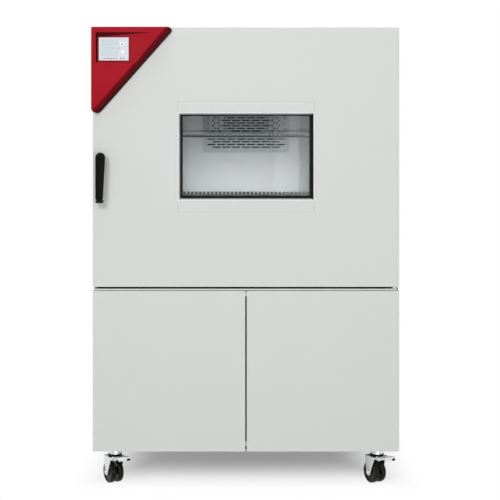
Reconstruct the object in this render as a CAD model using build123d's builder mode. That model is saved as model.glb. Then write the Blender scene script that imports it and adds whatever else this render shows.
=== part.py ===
from build123d import *
import os
from math import cos, radians, sin

os.makedirs("parts", exist_ok=True)

# Environmental test chamber, in millimetres.
# X runs to the right, Y to the rear and Z up. The origin is on the floor, in the middle of the footprint.

# Housing
housing_w = 1115.0
housing_h = 1675.0
housing_d = 925.0
front_reach = 450.0  # origin to the face of the main door
sheet = 1.5
clearance = 0.3
running = 0.05  # radial clearance of a turning fit

# Main door
door_h = 944.0
door_pan_d = 92.0
door_seal_gap = 5.5
door_edge_r = 4.0
plug_d = 20.0  # step of the door liner that enters the chamber
plug_gap = 10.0
plug_edge_r = 5.0
gasket_w = 38.0
gasket_lap = 1.0  # plug to the gasket's inner edge
gasket_corner_r = 12.0

# Chamber
chamber_w = 735.0
chamber_h = 700.0
chamber_d = 443.0  # front frame to air guide panel
chamber_rise = 122.0  # underside of the main door to chamber floor
plenum_d = 105.0
liner_t = 1.5
rear_insulation = 68.0

# Window
window_w = 496.0
window_h = 322.0
window_rise = 474.0  # underside of the main door to the window's middle
window_proud = 2.0
reveal_d = 22.0
reveal_slope = 9.0
window_lap = 2.0  # rim of the frame that rests on the door skin
window_rim = 2.5  # flat front edge of the frame
pane_t = 6.0
glass_band = 4.0  # black rubber seen inside the reveal
surround_h = 404.0
surround_t = 0.8
surround_gap = 0.5

# Main hinge
hinge_inset_x = 17.5
hinge_inset_y = 25.0
hinge_arm_w = 20.0
hinge_arm_t = 5.0
hinge_pin_r = 6.0
hinge_bush_t = 3.0
hinge_block_h = 24.0
hinge_pocket_h = 11.0
hinge_pocket_gap = 2.0  # pocket round the upper arm
hinge_overcut = 1.0
hinge_pin_lift = 2.0
hinge_arm_hold = 55.0  # upper arm behind the front frame

# Sill and lower doors
sill_gap = 7.0
sill_lip = 5.5
sill_t = 2.0
sill_left_inset = 6.0
sill_right_inset = 9.0
lower_top_gap = 1.8
lower_door_t = 28.0
lower_door_gap = 5.0
lower_hinge_x = 12.5
lower_hinge_y = 20.0
lower_pin_r = 4.0
lower_lip = 14.0
lower_notch_gap = 1.0
bay_setback = 12.0  # rear of the lower doors to the machine bay

# Machine bay
caster_h = 132.0
angle_leg = 40.0
angle_t = 4.0
pan_t = 2.0

# Controller housing on the door
control_top_over = 0.7
control_left_over = 2.0
control_w = 304.0  # top edge, to the sharp corner
control_h = 343.0  # left edge, to the sharp corner
control_t = 38.0
control_wall = 3.0
control_bevel = 24.0
control_edge_t = 4.0  # straight edge left under the bevel
control_overcut = 9.0
control_tip_r = 12.0
control_foot_r = 19.0
control_corner_r = 5.0
screen_w = 109.5
screen_h = 92.0
screen_t = 5.0
screen_edge_r = 1.0
screen_in_x = 26.7  # housing edge to screen
screen_in_z = 34.2
recess_in_x = 17.0
recess_in_z = 26.0
recess_h = 104.0
recess_w = 206.0
recess_d = 12.0

# Door handle
handle_in_x = 31.0  # door edge to the lever's axle
handle_rise = 472.5  # underside of the main door to the lever's axle
handle_w = 35.0
handle_tip_w = 27.0
handle_drop = 155.5  # axle to the lever's lower end
handle_t = 20.0
handle_edge_r = 5.0
handle_hub_wall = 7.0
handle_standoff = 28.0
handle_plate_t = 6.0
handle_plate_h = 70.0  # axle to the plate's lower end
handle_plate_inset = 2.0
handle_plate_r = 4.0
handle_rest_h = 9.0
handle_rest_inset = 1.0
handle_rest_back = 6.0
shaft_r = 7.0
shaft_room = 2.0  # shaft to door skin and foam
cam_l = 40.0
cam_w = 14.0
cam_t = 8.0
cam_reach = 6.0  # frame face to the cam
keeper_r = 28.0
keeper_d = 36.0
keeper_wall = 3.0

# Chamber fittings
grille_w = 348.0
grille_h = 260.0
grille_drop = 222.0  # chamber ceiling to the middle of the grille and fan
slot_l = 33.5
slot_w = 5.0
slot_pitch_x = 39.8
slot_pitch_z = 10.8
fan_inlet_r = 83.0
fan_wheel_r = 76.0
fan_wheel_d = 46.0
fan_blades = 24
shelf_upper_rise = 422.0  # chamber floor to the upper shelf
shelf_lower_rise = 180.0
shelf_side_gap = 14.5  # shelf to uprights
shelf_front_gap = 10.5  # door plug to shelf
shelf_rear_gap = 18.0  # shelf to air guide panel
shelf_rod_r = 3.0
shelf_wire_r = 1.5
shelf_wire_pitch = 16.0
upright_w = 22.0
upright_t = 8.0
port_r = 25.0
port_wall = 2.0
port_y = -120.0
port_rise = 350.0  # chamber floor to the port's middle

# Casters
wheel_r = 40.0
wheel_w = 21.0
wheel_gap = 8.0
axle_r = 5.0
axle_head_r = 8.0
axle_head_t = 4.0
tyre_edge_r = 3.0
hub_r = 14.0
caster_trail = 14.0
caster_yaw = 30.0
caster_inset_x = 74.5  # housing side to swivel
caster_front_inset = 70.0
caster_rear_inset = 85.0
caster_plate_w = 100.0
caster_plate_d = 84.0
caster_plate_t = 4.0
swivel_r = 22.0
swivel_h = 28.0
race_r = 25.0
race_h = 9.0
kingpin_r = 6.0
kingpin_gap = 1.0  # kingpin to the top of the plate
fork_t = 3.0
fork_gap = 1.0
crown_t = 4.0
crown_front = 26.0
crown_rear = 36.0
leg_front = 22.0
leg_foot_r = 12.0
pedal_reach = 36.0  # swivel to the pedal's pin
pedal_drop = 2.0  # crown to the pedal's pin
pedal_pin_r = 4.0
pedal_barrel_r = 7.0
pedal_half = 17.0
ear_gap = 1.0
ear_t = 3.0
tread_half = 22.0
tread_start = 11.0
tread_end = 46.0
tread_rise = 14.0
tread_t = 4.0

# Places worked out from the sizes above
half_w = housing_w / 2
face_y = -front_reach
rear_y = face_y + housing_d
door_z = housing_h - door_h
door_pan_y = face_y + door_pan_d
door_back_y = door_pan_y + liner_t
frame_y = door_back_y + door_seal_gap
chamber_x = chamber_w / 2
chamber_z = door_z + chamber_rise
chamber_top = chamber_z + chamber_h
guide_y = frame_y + chamber_d
liner_y = guide_y + plenum_d
foam_y = liner_y + liner_t + rear_insulation
roof_z = housing_h - sheet
sill_z = door_z - sill_gap
deck_z = sill_z - sill_t
lower_door_top = sill_z - sill_lip - lower_top_gap
bay_y = face_y + lower_door_t + bay_setback
hinge_x = half_w - hinge_inset_x
hinge_y = face_y + hinge_inset_y
plug_x = chamber_x - plug_gap
plug_y = door_back_y + plug_d
handle_x = -half_w + handle_in_x
window_z = door_z + window_rise
handle_z = door_z + handle_rise
grille_z = chamber_top - grille_drop
port_z = chamber_z + port_rise
shelf_upper_z = chamber_z + shelf_upper_rise
shelf_lower_z = chamber_z + shelf_lower_rise
shelf_w = chamber_w - 2 * (upright_t + shelf_side_gap)
shelf_front = plug_y + shelf_front_gap
shelf_back = guide_y - shelf_rear_gap
shelf_d = shelf_back - shelf_front
caster_x = half_w - caster_inset_x
caster_front_y = face_y + caster_front_inset
caster_rear_y = rear_y - caster_rear_inset
glass_w = window_w - 2 * reveal_slope
glass_h = window_h - 2 * reveal_slope
tunnel_w = glass_w - 2 * glass_band
tunnel_h = glass_h - 2 * glass_band
tunnel_wall = 12.0
outer_pane_y = face_y - window_proud + reveal_d
inner_pane_y = plug_y - pane_t - liner_t


def block(low, high, mode=Mode.ADD):
    """Adds a box between two opposite corners to the part being built."""
    middle = [(a + b) / 2 for a, b in zip(low, high)]
    with Locations(tuple(middle)):
        Box(*[b - a for a, b in zip(low, high)], mode=mode)


def rod(start, end, radius, mode=Mode.ADD):
    """Adds a round bar from one point to another to the part being built."""
    path = Vector(*end) - Vector(*start)
    plane = Plane(origin=start, z_dir=path)
    with Locations(plane.location):
        Cylinder(radius, path.length, align=(Align.CENTER, Align.CENTER, Align.MIN), mode=mode)


def save(piece, name):
    """Labels a finished piece and writes it as its own file."""
    piece.part.label = name
    export_step(piece.part, f"parts/{name}.step")


# Housing sheets

with BuildPart() as top_cover:
    block((-half_w, frame_y, roof_z), (half_w, rear_y, housing_h))
    lid_corners = top_cover.edges().filter_by(Axis.Z)
    fillet(lid_corners, door_edge_r)
save(top_cover, "top_cover")

with BuildPart() as front_frame:
    block((-half_w, frame_y, sill_z), (half_w, frame_y + sheet, roof_z))
    block((-chamber_x, frame_y, chamber_z), (chamber_x, frame_y + sheet, chamber_top), Mode.SUBTRACT)
    rod((handle_x, frame_y, handle_z), (handle_x, frame_y + sheet, handle_z), keeper_r, Mode.SUBTRACT)
    hinge_slot_low = (hinge_x - hinge_arm_w / 2 - clearance, frame_y, roof_z - sheet - hinge_arm_t - clearance)
    hinge_slot_high = (hinge_x + hinge_arm_w / 2 + clearance, frame_y + sheet, roof_z)
    block(hinge_slot_low, hinge_slot_high, Mode.SUBTRACT)
save(front_frame, "front_frame")

with BuildPart() as side_panels:
    for side in (-1, 1):
        inner, outer = sorted((side * (half_w - sheet), side * half_w))
        block((inner, frame_y + sheet, sill_z), (outer, rear_y - sheet, roof_z))
    rod((-half_w, port_y, port_z), (-half_w + sheet, port_y, port_z), port_r + port_wall, Mode.SUBTRACT)
save(side_panels, "side_panels")

louvre_l = 150.0
louvre_w = 6.0
louvre_pitch = 16.0
louvre_rows = 14
louvre_columns = 3
louvre_column_pitch = 210.0
bay_mid_z = (caster_h + deck_z) / 2
bay_mid_y = (bay_y + rear_y - sheet) / 2

with BuildPart() as lower_side_panels:
    for start_x in (-half_w, half_w - sheet):
        with BuildSketch(Plane.YZ.offset(start_x)):
            with Locations((bay_mid_y, bay_mid_z)):
                Rectangle(rear_y - sheet - bay_y, deck_z - caster_h)
                with GridLocations(louvre_column_pitch, louvre_pitch, louvre_columns, louvre_rows):
                    SlotOverall(louvre_l, louvre_w, mode=Mode.SUBTRACT)
        extrude(amount=sheet)
save(lower_side_panels, "lower_side_panels")

vent_rows = 9

condenser_inset = 257.5  # housing side to the condenser's middle
coil_room = 95.0  # condenser to the deck above and the pan below
fan_room = 60.0  # condenser edge to the fan's sweep
grill_pitch = 28.0  # between rings of holes
grill_hole_r = 5.5
gland_inset = 117.5
gland_rise = 78.0
gland_r = 10.0
switch_rise = 198.0
switch_r = 8.0
drain_out_inset = 217.5
drain_r = 8.0
spigot_r = 9.0  # outlet that the drain hose goes on
spigot_l = 25.0
condenser_x = half_w - condenser_inset
condenser_z = bay_mid_z
coil_h = deck_z - caster_h - 2 * coil_room
cond_fan_r = coil_h / 2 - fan_room
gland_x = -half_w + gland_inset
gland_z = caster_h + gland_rise
switch_x = gland_x
switch_z = caster_h + switch_rise
drain_out_x = -half_w + drain_out_inset
drain_out_z = gland_z

with BuildPart() as rear_panels:
    rear_plane = Plane.XZ.offset(-(rear_y - sheet))
    with BuildSketch(rear_plane):
        with Locations((0, (sill_z + roof_z) / 2)):
            Rectangle(housing_w, roof_z - sill_z)
        with Locations((0, chamber_top)):
            with GridLocations(louvre_column_pitch, louvre_pitch, louvre_columns, vent_rows):
                SlotOverall(louvre_l, louvre_w, mode=Mode.SUBTRACT)
    extrude(amount=-sheet)
    with BuildSketch(rear_plane):
        with Locations((0, bay_mid_z)):
            Rectangle(housing_w, deck_z - clearance - caster_h)
        with Locations((condenser_x, condenser_z)):
            for ring in range(1, int(cond_fan_r // grill_pitch) + 1):
                with PolarLocations(ring * grill_pitch, 6 * ring):
                    Circle(grill_hole_r, mode=Mode.SUBTRACT)
        for x, z, r in ((gland_x, gland_z, gland_r), (switch_x, switch_z, switch_r + running),
                        (drain_out_x, drain_out_z, drain_r + clearance)):
            with Locations((x, z)):
                Circle(r, mode=Mode.SUBTRACT)
    extrude(amount=-sheet)
save(rear_panels, "rear_panels")

# Machine bay

with BuildPart() as bottom_pan:
    block((-half_w + sheet, bay_y, caster_h), (half_w - sheet, rear_y - sheet, caster_h + pan_t))
save(bottom_pan, "bottom_pan")

frame_x = half_w - sheet - clearance
frame_front = bay_y + clearance
frame_rear = rear_y - sheet - clearance
frame_low = caster_h + pan_t
frame_top = deck_z

with BuildPart() as base_frame:
    for low, high, flange in (
        (frame_low, frame_low + angle_leg, frame_low),
        (frame_top - angle_leg, frame_top, frame_top - angle_t),
    ):
        block((-frame_x, frame_front, low), (frame_x, frame_rear, high))
        block((-frame_x + angle_t, frame_front + angle_t, low), (frame_x - angle_t, frame_rear - angle_t, high),
              Mode.SUBTRACT)
        block((-frame_x, frame_front, flange), (frame_x, frame_rear, flange + angle_t))
        block((-frame_x + angle_leg, frame_front + angle_leg, flange),
              (frame_x - angle_leg, frame_rear - angle_leg, flange + angle_t), Mode.SUBTRACT)
    for sx in (-1, 1):
        for edge_y, turn in ((frame_front, 1), (frame_rear, -1)):
            corner = (sx * frame_x, edge_y)
            for across, along in ((angle_leg, angle_t), (angle_t, angle_leg)):
                xs = sorted((corner[0], corner[0] - sx * across))
                ys = sorted((corner[1], corner[1] + turn * along))
                block((xs[0], ys[0], frame_low), (xs[1], ys[1], frame_top))
save(base_frame, "base_frame")

pipe_hole_r = 12.0
suction_x = -240.0
liquid_x = -100.0
riser_gap = 73.5  # insulation to the pipes that run down behind it
riser_y = foam_y + riser_gap
drain_x = 0.0
drain_y = -100.0
sill_front = face_y + 2 * sill_t

with BuildPart() as chamber_deck:
    block((-half_w + sheet, frame_y, deck_z), (half_w - sheet, rear_y - sheet, sill_z))
    with Locations((suction_x, riser_y, deck_z), (liquid_x, riser_y, deck_z), (drain_x, drain_y, deck_z)):
        Cylinder(pipe_hole_r, 4 * sill_t, mode=Mode.SUBTRACT)
    sill_x0 = -half_w + sill_left_inset
    sill_x1 = half_w - sill_right_inset
    block((sill_x0, sill_front, deck_z), (sill_x1, frame_y, sill_z))
    block((sill_x0, sill_front, sill_z - sill_lip), (sill_x1, sill_front + sill_t, sill_z))
save(chamber_deck, "chamber_deck")

lower_z = caster_h + clearance


def lower_door(side, name):
    """Sheet-steel service door, open at the back, notched round its two hinge brackets."""
    outer_x = side * half_w
    inner_x = side * lower_door_gap / 2
    low_x, high_x = sorted((outer_x, inner_x))
    back_y = face_y + lower_door_t
    pin_x = side * (half_w - lower_hinge_x)
    pin_y = face_y + lower_hinge_y
    with BuildPart() as door:
        block((low_x, face_y, lower_z), (high_x, back_y, lower_door_top))
        fillet(door.edges().filter_by(Axis.Z).group_by(Axis.Y)[0], door_edge_r / 2)
        block((low_x + sheet, face_y + sheet, lower_z + sheet),
              (high_x - sheet, back_y, lower_door_top - sheet), Mode.SUBTRACT)
        block((low_x + sheet, back_y - sheet, lower_z + sheet),
              (high_x - sheet, back_y, lower_door_top - sheet))
        block((low_x + lower_lip, back_y - sheet, lower_z + lower_lip),
              (high_x - lower_lip, back_y, lower_door_top - lower_lip), Mode.SUBTRACT)
        for notch_z in (lower_z, lower_door_top - 2 * lower_lip):
            near, far = sorted((pin_x - side * lower_lip, outer_x + side * sheet))
            block((near, face_y + sheet + lower_notch_gap, notch_z + sheet),
                  (far, back_y, notch_z + 2 * lower_lip - sheet), Mode.SUBTRACT)
        rod((pin_x, pin_y, lower_z), (pin_x, pin_y, lower_z + sheet), lower_pin_r + running, Mode.SUBTRACT)
        rod((pin_x, pin_y, lower_door_top - sheet), (pin_x, pin_y, lower_door_top), lower_pin_r + running,
            Mode.SUBTRACT)
    save(door, name)


lower_door(-1, "lower_door_left")
lower_door(1, "lower_door_right")

bracket_t = 3.0
bracket_w = 12.0
bracket_in = 8.0  # door edge to bracket plate
catch_w = 44.0
catch_h = 18.0

with BuildPart() as lower_door_hardware:
    for side in (-1, 1):
        pin_x = side * (half_w - lower_hinge_x)
        pin_y = face_y + lower_hinge_y
        for plate_z, tip_z in (
            (lower_z + bracket_in, lower_z),
            (lower_door_top - bracket_in - bracket_t, lower_door_top),
        ):
            block((pin_x - bracket_w / 2, pin_y, plate_z),
                  (pin_x + bracket_w / 2, frame_front, plate_z + bracket_t))
            rod((pin_x, pin_y, plate_z), (pin_x, pin_y, plate_z + bracket_t), bracket_w / 2)
            rod((pin_x, pin_y, plate_z + bracket_t / 2), (pin_x, pin_y, tip_z), lower_pin_r)
    for catch_z in (frame_low + angle_leg / 2, frame_top - angle_leg / 2):
        block((-catch_w / 2, face_y + lower_door_t + clearance, catch_z - catch_h / 2),
              (catch_w / 2, frame_front, catch_z + catch_h / 2))
save(lower_door_hardware, "lower_door_hardware")

compressor_r = 82.0
compressor_room = 292.0  # compressor to the deck above
compressor_y = 20.0
discharge_x = -20.0
foot_h = 22.0
foot_t = 4.0
foot_pitch = 131.2
pot_z = frame_low + foot_h + foot_t
compressor_h = deck_z - compressor_room - pot_z
compressor_top = pot_z + compressor_h

with BuildPart() as compressors:
    with Locations((suction_x, compressor_y, pot_z), (discharge_x, compressor_y, pot_z)):
        Cylinder(compressor_r, compressor_h, align=(Align.CENTER, Align.CENTER, Align.MIN))
    rims = compressors.edges().filter_by(GeomType.CIRCLE)
    fillet(rims.group_by(Axis.Z)[-1], compressor_r / 2)
    fillet(rims.group_by(Axis.Z)[0], compressor_r / 4)
    for pot_x in (suction_x, discharge_x):
        block((pot_x - compressor_r, compressor_y - compressor_r, pot_z - foot_t),
              (pot_x + compressor_r, compressor_y + compressor_r, pot_z))
        with Locations((pot_x, compressor_y, frame_low)):
            with GridLocations(foot_pitch, foot_pitch, 2, 2):
                Cylinder(foot_h / 2, foot_h, align=(Align.CENTER, Align.CENTER, Align.MIN))
save(compressors, "compressors")

coil_w = 380.0
coil_d = 44.0
coil_back = 125.0  # condenser face to the rear panel
coil_y = rear_y - coil_back
fin_pitch = 8.0
fin_t = 1.2
fin_rise = 7.0
evap_front_gap = 18.0
evap_rear_gap = 21.0
evap_side_gap = 67.5
evap_h = 240.0
evap_foot = 22.0
evap_y = guide_y + evap_front_gap
evap_w = chamber_w - 2 * evap_side_gap
evap_d = plenum_d - evap_front_gap - evap_rear_gap
evap_z = chamber_z + evap_foot + evap_h / 2

with BuildPart() as heat_exchangers:
    for x, y, z, width, depth, height in (
        (condenser_x, coil_y + coil_d / 2, condenser_z, coil_w, coil_d, coil_h),
        (0, evap_y + evap_d / 2, evap_z, evap_w, evap_d, evap_h),
    ):
        with BuildSketch(Plane.XY.offset(z - height / 2)):
            with Locations((x, y)):
                Rectangle(width, depth - 2 * fin_rise)
                with GridLocations(fin_pitch, 1, int(width // fin_pitch), 1):
                    Rectangle(fin_t, depth)
        extrude(amount=height)
save(heat_exchangers, "heat_exchangers")

fan_standoff = 24.0  # coil to the hub of the fan
cond_hub_r = 34.0
cond_hub_d = 24.0
cond_motor_r = 30.0
cond_motor_gap = 2.0
cond_shaft_r = 4.0
shroud_gap = 6.0
shroud_d = 50.0
strut_w = 12.0
strut_t = 4.0
cond_blades = 5
blade_w = 62.0
blade_t = 2.5
blade_pitch = 28.0  # degrees
blade_sink = 3.0  # root of a blade inside the hub
coil_face = coil_y + coil_d
motor_start = coil_face + cond_motor_gap
cond_fan_y = coil_face + fan_standoff
cond_fan_end = cond_fan_y + cond_hub_d
shroud_r = cond_fan_r + shroud_gap

with BuildPart() as condenser_fan_mount:
    with BuildSketch(Plane.XZ.offset(-coil_face)):
        with Locations((condenser_x, condenser_z)):
            Rectangle(coil_w, coil_h)
            Circle(shroud_r, mode=Mode.SUBTRACT)
    extrude(amount=-sheet)
    with BuildSketch(Plane.XZ.offset(-coil_face)):
        with Locations((condenser_x, condenser_z)):
            Circle(shroud_r + sheet)
            Circle(shroud_r, mode=Mode.SUBTRACT)
    extrude(amount=-shroud_d)
    rod((condenser_x, motor_start, condenser_z), (condenser_x, cond_fan_y - cond_motor_gap, condenser_z),
        cond_motor_r)
    rod((condenser_x, motor_start, condenser_z), (condenser_x, cond_fan_end - strut_t, condenser_z),
        cond_shaft_r)
    with Locations((condenser_x, motor_start + strut_t / 2, condenser_z)):
        Box(2 * shroud_r, strut_t, strut_w)
save(condenser_fan_mount, "condenser_fan_mount")

with BuildPart() as condenser_fan:
    rod((condenser_x, cond_fan_y, condenser_z), (condenser_x, cond_fan_end, condenser_z), cond_hub_r)
    fan_plane = Plane(origin=(condenser_x, cond_fan_y + cond_hub_d / 2, condenser_z), x_dir=(1, 0, 0),
                      z_dir=(0, -1, 0))
    with Locations(fan_plane.location):
        with PolarLocations((cond_fan_r + cond_hub_r) / 2 - blade_sink, cond_blades):
            Box(cond_fan_r - cond_hub_r, blade_w, blade_t, rotation=(blade_pitch, 0, 0))
    rod((condenser_x, cond_fan_y, condenser_z), (condenser_x, cond_fan_end, condenser_z),
        cond_shaft_r + running, Mode.SUBTRACT)
save(condenser_fan, "condenser_fan")

box_in_x = 17.5
box_in_y = 130.0
box_in_z = 126.0
box_w = 150.0
box_d = 400.0
box_head = 82.0  # electrical box to the deck above
box_edge_r = 3.0
box_lid_in = 20.0
box_lid_t = 2.0

with BuildPart() as electrical_box:
    box_low = (-half_w + box_in_x, bay_y + box_in_y, frame_low + box_in_z)
    box_high = (box_low[0] + box_w, box_low[1] + box_d, deck_z - box_head)
    block(box_low, box_high)
    fillet(electrical_box.edges().filter_by(Axis.Y), box_edge_r)
    block((box_high[0], box_low[1] + box_lid_in, box_low[2] + box_lid_in),
          (box_high[0] + box_lid_t, box_high[1] - box_lid_in, box_high[2] - box_lid_in))
save(electrical_box, "electrical_box")


def pipe(points, radius, bend):
    """Pipe along straight runs with round bends."""
    with BuildPart() as tube:
        with BuildLine():
            FilletPolyline(*points, radius=bend)
        with BuildSketch(Plane(origin=points[0], z_dir=Vector(*points[1]) - Vector(*points[0]))):
            Circle(radius)
        sweep()
    return tube.part


pipe_start = evap_y + evap_d
suction_r = 8.0
liquid_r = 5.0
wide_bend = 30.0
tight_bend = 20.0
suction_rise = 90.0  # compressor to the pipe above it
discharge_rise = 130.0
drain_fall_gap = 55.0  # drain pipe to the rear
discharge_gap_y = 110.0  # discharge pipe to the condenser
discharge_side = 120.0
liquid_turn = 70.0
suction_z = compressor_top + suction_rise
discharge_z = compressor_top + discharge_rise
liquid_z = condenser_z + coil_h / 2 - wide_bend
drain_z = deck_z - wide_bend
drain_fall_y = rear_y - drain_fall_gap
discharge_y = coil_y - discharge_gap_y
discharge_in_x = condenser_x - discharge_side
suction_pipe = pipe(
    [(suction_x, pipe_start, evap_z), (suction_x, riser_y, evap_z), (suction_x, riser_y, suction_z),
     (suction_x, compressor_y, suction_z), (suction_x, compressor_y, compressor_top)],
    suction_r, wide_bend,
)
liquid_pipe = pipe(
    [(liquid_x, pipe_start, evap_z), (liquid_x, riser_y, evap_z), (liquid_x, riser_y, liquid_z),
     (condenser_x, coil_y - liquid_turn, liquid_z), (condenser_x, coil_y, liquid_z)],
    liquid_r, tight_bend,
)
discharge_pipe = pipe(
    [(discharge_x, compressor_y, compressor_top), (discharge_x, compressor_y, discharge_z),
     (discharge_x, discharge_y, discharge_z), (discharge_in_x, discharge_y, discharge_z),
     (discharge_in_x, coil_y, discharge_z)],
    liquid_r, tight_bend,
)
drain_pipe = pipe(
    [(drain_x, drain_y, chamber_z - liner_t), (drain_x, drain_y, drain_z), (drain_out_x, drain_y, drain_z),
     (drain_out_x, drain_fall_y, drain_z), (drain_out_x, drain_fall_y, drain_out_z),
     (drain_out_x, rear_y + spigot_l, drain_out_z)],
    drain_r, wide_bend,
)
with BuildPart() as pipework:
    add(suction_pipe)
    add(liquid_pipe)
    add(discharge_pipe)
    add(drain_pipe)
    rod((drain_out_x, rear_y, drain_out_z), (drain_out_x, rear_y + spigot_l, drain_out_z), spigot_r)
save(pipework, "pipework")

gland_in = 12.0
gland_out = 22.0
gland_bore_r = 6.5
gland_nut_r = 14.0
gland_nut_t = 8.0
gland_edge_r = 1.0

with BuildPart() as cable_gland:
    rod((gland_x, rear_y, gland_z), (gland_x, rear_y + gland_nut_t, gland_z), gland_nut_r)
    rod((gland_x, rear_y - gland_in, gland_z), (gland_x, rear_y + gland_out, gland_z), gland_r)
    rod((gland_x, rear_y - gland_in, gland_z), (gland_x, rear_y + gland_out, gland_z), gland_bore_r,
        Mode.SUBTRACT)
    fillet(cable_gland.edges().filter_by(GeomType.CIRCLE).sort_by(Axis.Y)[-2:], gland_edge_r)
save(cable_gland, "cable_gland")

switch_in = 8.0
switch_plate_r = 26.0
switch_plate_t = 8.0
grip_w = 12.0
grip_l = 48.0
grip_h = 12.0
grip_edge_r = 2.0

with BuildPart() as main_switch:
    rod((switch_x, rear_y - switch_in, switch_z), (switch_x, rear_y + switch_plate_t / 2, switch_z), switch_r)
    rod((switch_x, rear_y + clearance, switch_z), (switch_x, rear_y + switch_plate_t, switch_z), switch_plate_r)
    block((switch_x - grip_w / 2, rear_y + switch_plate_t, switch_z - grip_l / 2),
          (switch_x + grip_w / 2, rear_y + switch_plate_t + grip_h, switch_z + grip_l / 2))
    fillet(main_switch.faces().sort_by(Axis.Y)[-1].edges(), grip_edge_r)
save(main_switch, "main_switch")

spacer_l = 25.0
spacer_r = 14.0
spacer_edge_r = 3.0
spacer_in_x = 137.5
spacer_low = 89.0  # underside of the main door to the lower spacers
spacer_high = 113.5  # roof to the upper spacers

with BuildPart() as rear_spacers:
    spacer_x = half_w - spacer_in_x
    for x in (-spacer_x, spacer_x):
        for z in (door_z + spacer_low, roof_z - spacer_high):
            rod((x, rear_y, z), (x, rear_y + spacer_l, z), spacer_r)
    fillet(rear_spacers.edges().filter_by(GeomType.CIRCLE).group_by(Axis.Y)[-1], spacer_edge_r)
save(rear_spacers, "rear_spacers")

# Chamber, insulation and what hangs in them

heater_r = 4.0
heater_drop = 24.0
heater_turns = 3
heater_bend_gap = 0.5
heater_tail = 30.0  # ends that pass through the liner into the insulation
heater_side_gap = 117.5
heater_tail_in = 77.5
heater_rear_gap = 35.0
heater_head_gap = 40.0
heater_x = chamber_x - heater_side_gap
heater_tail_x = chamber_x - heater_tail_in
heater_y = liner_y - heater_rear_gap
heater_top = chamber_top - heater_head_gap
heater_foot = heater_top - 2 * heater_turns * heater_drop
heater_ends = ((heater_tail_x, heater_top), (-heater_tail_x, heater_foot))
fan_shaft_r = 6.0
fan_shaft_gap = 2.0  # shaft to the chamber's rear wall
fan_foam_gap = 4.0
drain_wall = 2.0

with BuildPart() as inner_chamber:
    block((-chamber_x - liner_t, frame_y + sheet, chamber_z - liner_t),
          (chamber_x + liner_t, liner_y + liner_t, chamber_top + liner_t))
    block((-chamber_x, frame_y + sheet, chamber_z), (chamber_x, liner_y, chamber_top), Mode.SUBTRACT)
    rod((-chamber_x - liner_t, port_y, port_z), (-chamber_x, port_y, port_z), port_r + port_wall, Mode.SUBTRACT)
    rod((0, liner_y, grille_z), (0, liner_y + liner_t, grille_z), fan_shaft_r + fan_shaft_gap, Mode.SUBTRACT)
    for x, r in ((suction_x, suction_r), (liquid_x, liquid_r)):
        rod((x, liner_y, evap_z), (x, liner_y + liner_t, evap_z), r + clearance, Mode.SUBTRACT)
    for x, z in heater_ends:
        rod((x, liner_y, z), (x, liner_y + liner_t, z), heater_r + clearance, Mode.SUBTRACT)
    rod((drain_x, drain_y, chamber_z - liner_t), (drain_x, drain_y, chamber_z), drain_r - drain_wall,
        Mode.SUBTRACT)
save(inner_chamber, "inner_chamber")

with BuildPart() as insulation:
    block((-half_w + sheet, frame_y + sheet, sill_z), (half_w - sheet, foam_y, roof_z))
    block((-chamber_x - liner_t, frame_y + sheet, chamber_z - liner_t),
          (chamber_x + liner_t, liner_y + liner_t, chamber_top + liner_t), Mode.SUBTRACT)
    rod((-half_w, port_y, port_z), (-chamber_x, port_y, port_z), port_r + port_wall, Mode.SUBTRACT)
    rod((0, liner_y, grille_z), (0, foam_y, grille_z), fan_shaft_r + fan_foam_gap, Mode.SUBTRACT)
    for x, r in ((suction_x, suction_r), (liquid_x, liquid_r)):
        rod((x, liner_y, evap_z), (x, foam_y, evap_z), r + clearance, Mode.SUBTRACT)
    for x, z in heater_ends:
        rod((x, liner_y, z), (x, liner_y + heater_tail + clearance, z), heater_r + clearance, Mode.SUBTRACT)
    rod((drain_x, drain_y, sill_z), (drain_x, drain_y, chamber_z), drain_r + clearance, Mode.SUBTRACT)
    rod((handle_x, frame_y, handle_z), (handle_x, frame_y + keeper_d, handle_z), keeper_r, Mode.SUBTRACT)
    block((hinge_slot_low[0], frame_y, hinge_slot_low[2]),
          (hinge_slot_high[0], frame_y + hinge_arm_hold + clearance, roof_z),
          Mode.SUBTRACT)
save(insulation, "insulation")

air_gap = 45.0  # openings above and below the air guide panel

with BuildPart() as air_guide:
    block((-chamber_x, guide_y, chamber_z + air_gap), (chamber_x, guide_y + sheet, chamber_top - air_gap))
    rod((0, guide_y, grille_z), (0, guide_y + sheet, grille_z), fan_inlet_r, Mode.SUBTRACT)
save(air_guide, "air_guide_panel")

grille_margin_z = 12.0
grille_margin_x = 10.0
grille_corner_r = 4.0
rivet_in_x = 6.0
rivet_in_z = 4.5
rivet_r = 2.6
rivet_h = 1.2
grille_rows = int((grille_h / 2 - grille_margin_z) // slot_pitch_z)
grille_columns = int((grille_w - 2 * grille_margin_x) // slot_pitch_x)
slot_places = []
for row in range(-grille_rows, grille_rows + 1):
    wide = grille_columns if (row + grille_rows) % 2 else grille_columns - 1
    for column in range(wide):
        slot_places.append(((column - (wide - 1) / 2) * slot_pitch_x, grille_z + row * slot_pitch_z))

with BuildPart() as inlet_grille:
    with BuildSketch(Plane.XZ.offset(-(guide_y - sheet))):
        with Locations((0, grille_z)):
            RectangleRounded(grille_w, grille_h, grille_corner_r)
        with Locations(*slot_places):
            SlotOverall(slot_l, slot_w, mode=Mode.SUBTRACT)
    extrude(amount=-sheet)
    with BuildSketch(Plane.XZ.offset(-(guide_y - sheet))):
        with Locations((0, grille_z)):
            with GridLocations(grille_w / 2 - rivet_in_x, grille_h - 2 * rivet_in_z, 3, 2):
                Circle(rivet_r)
    extrude(amount=rivet_h)
save(inlet_grille, "inlet_grille")

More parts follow.
